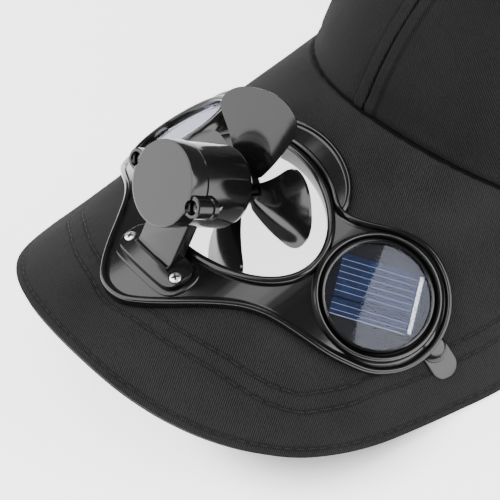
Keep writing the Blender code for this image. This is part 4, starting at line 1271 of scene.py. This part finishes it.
class Shade:
    """One output of a material's nodes. Sums and products of outputs become nodes."""

    def __init__(self, tree, socket=None):
        self.tree = tree
        self.socket = socket

    def node(self, kind, settings=(), inputs=(), output=0):
        made = self.tree.nodes.new("ShaderNode" + kind)
        for key, value in dict(settings).items():
            setattr(made, key, value)
        for key, value in dict(inputs).items():
            if isinstance(value, Shade):
                self.tree.links.new(value.socket, made.inputs[key])
            else:
                made.inputs[key].default_value = value
        return Shade(self.tree, made.outputs[output] if made.outputs else None)

    def maths(self, operation, *terms):
        return self.node("Math", {"operation": operation}, dict(enumerate(terms)))

    def __add__(self, other):
        return self.maths("ADD", self, other)

    __radd__ = __add__

    def __mul__(self, other):
        return self.maths("MULTIPLY", self, other)

    __rmul__ = __mul__

    def __sub__(self, other):
        return self.maths("SUBTRACT", self, other)

    def __rsub__(self, other):
        return self.maths("SUBTRACT", other, self)

    def __truediv__(self, other):
        return self.maths("DIVIDE", self, other)

    def __abs__(self):
        return self.maths("ABSOLUTE", self)

    def sine(self):
        return self.maths("SINE", self)

    def least(self, other):
        return self.maths("MINIMUM", self, other)

    def rise(self, low, high):
        """0 below low, 1 above high, eased between them."""
        return self.node(
            "MapRange", {"interpolation_type": "SMOOTHSTEP"},
            {"Value": self, "From Min": low, "From Max": high},
        )

    def blend(self, first, second):
        """The first colour where this is 0, the second where it is 1."""
        return self.node("Mix", {"data_type": "RGBA"}, {0: self, 6: first, 7: second}, 2)


def new_material(name):
    material = bpy.data.materials.new(name)
    material.use_nodes = True
    material.node_tree.nodes.clear()
    return material, Shade(material.node_tree)


def grey(value, blue=0.0):
    return (value, value, value * (1.0 + blue), 1.0)


def surface(shade, **inputs):
    named = {key.replace("_", " "): value for key, value in inputs.items()}
    shader = shade.node("BsdfPrincipled", {}, named)
    shade.node("OutputMaterial", {}, {"Surface": shader})


def noise(shade, place, scale, detail=2.0):
    return shade.node("TexNoise", {}, {"Vector": place, "Scale": scale, "Detail": detail})


def object_place(shade):
    return shade.node("TexCoord", {}, {}, "Object")


def flat_place(shade):
    """Both directions of the map in metres."""
    flat = shade.node("SeparateXYZ", {}, {0: shade.node("UVMap", {"uv_map": "flat"})})
    return flat, Shade(shade.tree, flat.socket.node.outputs[1])


def fact(shade, name):
    """A value that was set for every vertex."""
    return shade.node("Attribute", {"attribute_name": name}, {}, "Fac")


def bumped(shade, height):
    """The normal of a surface with a relief in metres."""
    return shade.node("Bump", {}, {"Strength": 1.0, "Distance": 1.0, "Height": height})


def twill_material(name, light, rows, crease):
    """Black twill. rows and crease give the distances to the nearest stitches and fold; along the fold the
    colour is darkened to near-black as painted shade.
    """
    material, shade = new_material(name)
    across, along = flat_place(shade)
    place = object_place(shade)
    wander = noise(shade, place, 55.0) * 0.0004
    diagonal = (across * TWILL_ACROSS + along * TWILL_ALONG + wander) * (math.tau / TWILL_PITCH)
    ridges = diagonal.sine() * 0.5 + 0.5
    warp = (across * (math.tau / 0.00042)).sine() * (along * (math.tau / 0.00036)).sine()
    hairs = noise(shade, place, 1500.0, 3.0)
    worn = noise(shade, place, 38.0, 3.0)
    near = 1.0 - rows(shade).rise(0.0001, 0.0013)
    drawn = (1.0 - rows(shade).rise(0.0012, 0.0048)) * (noise(shade, place, 240.0) - 0.5)
    uneven = (noise(shade, place, 310.0) - 0.5) * 0.0010
    # Painted shade: near-black along the folds at the seams and under the crown's edge.
    painted_crease_shade = 1.0 - (crease(shade) + uneven).rise(0.0001, 0.0006)
    height = (
        ridges * 0.000085 + warp * 0.000020 + hairs * 0.00007 + worn * 0.0011
        - near * 0.00018 + drawn * 0.0007
    )
    bump = bumped(shade, height)
    # The cloth is also painted a little darker where it dips along the stitch rows, as shade.
    lightness = ridges * 0.50 + hairs * 0.55 + worn * 0.40 - near * 0.2 + warp * 0.10
    woven = lightness.rise(0.25, 1.15).blend(grey(0.0030, 0.05), grey(light, 0.03))
    colour = (painted_crease_shade * 0.9).blend(woven, grey(0.0012))
    surface(
        shade, Base_Color=colour, Roughness=0.78 + hairs * 0.2, Normal=bump,
        Specular_IOR_Level=0.08, Sheen_Weight=0.01, Sheen_Roughness=0.4,
        Sheen_Tint=(0.75, 0.76, 0.80, 1.0),
    )
    return material


def peak_rows(shade):
    row = fact(shade, "row")
    edge = fact(shade, "edge")
    return abs(row).least(abs(row - STITCH_ROW_GAP)).least(abs(edge - EDGE_ROW_IN))


# Distance from the crown's seam on the peak, where shade is painted.
def peak_crease(shade):
    return fact(shade, "seam") - 0.0013


# Distance to the panel seams and to the crown's lower edge, where shade is painted.
def crown_crease(shade):
    return (fact(shade, "gap") - 0.0001).least(fact(shade, "above"))


def crown_rows(shade):
    return abs(fact(shade, "gap") - SEAM_ROW_OUT)


def thread_material():
    material, shade = new_material("black thread")
    place = object_place(shade)
    strands = noise(shade, place, 3800.0, 2.0)
    bump = bumped(shade, strands * 0.00008)
    colour = strands.rise(0.3, 0.75).blend(grey(0.006, 0.05), grey(0.030, 0.05))
    surface(shade, Base_Color=colour, Roughness=0.55 + strands * 0.25, Normal=bump,
            Specular_IOR_Level=0.15)
    return material


def plastic_material(name, base, roughness, ripple):
    """Black moulded plastic with a faint ripple, rub marks and a few grains of dust."""
    material, shade = new_material(name)
    place = object_place(shade)
    broad = noise(shade, place, 62.0, 2.0)
    fine = noise(shade, place, 1900.0, 2.0)
    rubs = noise(shade, shade.node("VectorMath", {"operation": "MULTIPLY"},
                                   {0: place, 1: (1.0, 0.22, 1.0)}), 420.0, 4.0)
    cells = shade.node("TexVoronoi", {"feature": "F1"}, {"Vector": place, "Scale": 520.0})
    dust = (1.0 - cells.rise(0.03, 0.06)) * rubs.rise(0.52, 0.6)
    height = broad * ripple + fine * 0.0000010 + dust * 0.00001
    bump = bumped(shade, height)
    colour = (dust * 0.35).blend(grey(base), grey(0.16))
    rough = roughness + (rubs - 0.5) * 0.10 + (broad - 0.5) * 0.04 + dust * 0.25
    surface(shade, Base_Color=colour, Roughness=rough, Normal=bump, IOR=1.5)
    return material


def zinc_material():
    material, shade = new_material("bright zinc")
    place = object_place(shade)
    grain = noise(shade, place, 2200.0, 3.0)
    patches = noise(shade, place, 300.0, 2.0)
    bump = bumped(shade, grain * 0.000006)
    plated = patches.rise(0.3, 0.7).blend((0.80, 0.80, 0.78, 1.0), (0.96, 0.96, 0.94, 1.0))
    # Painted shade: near-black in the screw's cross recess.
    colour = (fact(shade, "recess") * 0.95).blend(plated, grey(0.02))
    surface(shade, Base_Color=colour, Roughness=0.22 + patches * 0.2, Metallic=1.0, Normal=bump)
    return material


def solder_material():
    material, shade = new_material("solder")
    place = object_place(shade)
    lumps = noise(shade, place, 900.0, 3.0)
    bump = bumped(shade, lumps * 0.00012)
    colour = lumps.rise(0.38, 0.52).blend(grey(0.60), grey(1.0))
    surface(shade, Base_Color=colour, Roughness=0.32 + lumps * 0.2, Metallic=0.3, Normal=bump)
    return material


def cell_material():
    """Blue silicon under fine silver lines, with a bare strip across the wafer."""
    material, shade = new_material("solar wafer")
    across, along = flat_place(shade)
    place = object_place(shade)
    phase = (along - LINE_START) / LINE_PITCH
    from_line = abs(phase - phase.maths("ROUND", phase)) * LINE_PITCH
    fade = noise(shade, place, 600.0, 3.0)
    printed = (1.0 - from_line.rise(0.00003, 0.00010)) * fade.rise(0.12, 0.30)
    border = 1.0 - abs(along - BORDER_PLACE).rise(0.00006, 0.00018)
    line = (printed + border).least(1.0) * (1.0 - across.rise(LINES_END - 0.0001, LINES_END + 0.0001))
    bare = 1.0 - abs(along - BARE_PLACE).rise(0.00030, 0.00048)
    cut = abs(across).rise(CUT_FROM, CUT_FROM + 0.0001)
    crystals = shade.node(
        "TexVoronoi", {"feature": "F1"}, {"Vector": place, "Scale": 330.0}, "Color"
    )
    crystal = shade.node("SeparateXYZ", {}, {0: crystals})
    blue = (crystal * 0.6 + fade * 0.4).rise(0.1, 0.9).blend(
        (0.007, 0.013, 0.042, 1.0), (0.013, 0.024, 0.072, 1.0)
    )
    with_lines = line.blend(blue, (0.36, 0.40, 0.47, 1.0))
    with_bare = bare.blend(with_lines, (0.004, 0.005, 0.008, 1.0))
    colour = cut.blend(with_bare, (0.006, 0.006, 0.008, 1.0))
    bump = bumped(shade, line * 0.00004 + fade * 0.000012)
    surface(shade, Base_Color=colour, Roughness=0.55 - line * 0.1, Metallic=line * 0.6,
            Normal=bump, Specular_IOR_Level=0.12)
    return material


def cover_material():
    """Clear plastic: what lies under it, and the studio in its surface."""
    material, shade = new_material("clear window")
    place = object_place(shade)
    broad = noise(shade, place, 70.0, 2.0)
    smears = noise(shade, place, 260.0, 4.0)
    bump = bumped(shade, broad * 0.000006)
    gloss = shade.node("BsdfPrincipled", {}, {
        "Base Color": (0.74, 0.76, 0.88, 1.0), "Metallic": 1.0, "Roughness": 0.02 + smears * 0.01,
        "Normal": bump,
    })
    clear = shade.node("BsdfTransparent", {}, {0: (0.94, 0.95, 0.97, 1.0)})
    share = shade.node("Fresnel", {}, {"IOR": 1.5, "Normal": bump})
    mixed = shade.node("MixShader", {}, {0: share * 0.34 + smears * 0.006, 1: clear, 2: gloss})
    shade.node("OutputMaterial", {}, {"Surface": mixed})
    return material


def floor_material():
    material, shade = new_material("pale floor")
    place = object_place(shade)
    tone = noise(shade, place, 5.0, 3.0)
    colour = tone.blend(grey(0.86), grey(0.90))
    # Painted shadow: the floor's glow is dimmed to a dark soft disc under the peak.
    away = shade.node("VectorMath", {"operation": "DISTANCE"},
                      {0: place, 1: (0.045, -0.092, 0.0)}, "Value")
    outside_painted_shadow = away.rise(0.026, 0.048)
    glow_with_painted_shadow = outside_painted_shadow.blend(grey(0.12), tone.blend(grey(0.96), grey(1.0)))
    surface(shade, Base_Color=colour, Roughness=0.6 + tone * 0.1,
            Emission_Color=glow_with_painted_shadow, Emission_Strength=2.2)
    return material


# The hat

# One twill for peak and crown; the crown's copy is painted darker, as shade.
peak_twill = twill_material("black twill of the peak", 0.029, peak_rows, peak_crease)
crown_twill = twill_material("black twill of the crown", 0.018, crown_rows, crown_crease)
thread = thread_material()
frame_plastic = plastic_material("black frame plastic", 0.004, 0.15, 0.00006)
motor_plastic = plastic_material("black motor plastic", 0.005, 0.14, 0.00005)
fan_plastic = plastic_material("black fan plastic", 0.004, 0.11, 0.00004)
zinc = zinc_material()

make_peak_cloth(peak_twill)
make_crown_cloth(crown_twill)
make_button(crown_twill)
peak_stitches(thread)
crown_stitches(thread)
make_frame(frame_plastic)
make_bracket(motor_plastic)
make_screw(zinc)
make_motor(motor_plastic)
make_fan(fan_plastic, zinc)
make_windows(cell_material(), solder_material(), cover_material(),
             plastic_material("matt black bed", 0.004, 0.85, 0.0))

# Floor and lights

deselect()
bpy.ops.mesh.primitive_plane_add(size=9.0, location=(0.0, 0.0, 0.0))
floor = bpy.context.object
floor.name = "floor"
floor.data.materials.append(floor_material())

world = bpy.data.worlds.new("dim studio")
world.use_nodes = True
world.node_tree.nodes["Background"].inputs["Color"].default_value = (0.20, 0.20, 0.205, 1.0)
bpy.context.scene.world = world

soft_light("left_softbox", 238.3, 44.1, -5.4, 1.80, 1.86, 4.14, (0.0, -0.10))
soft_light("right_softbox", 30.0, 32.0, -4.0, 0.84, 0.985, 4.8, (-0.06, -0.07), "ELLIPSE")
soft_light("top_softbox", 99.1, 73.8, -15.5, 0.25, 0.79, 3.61)
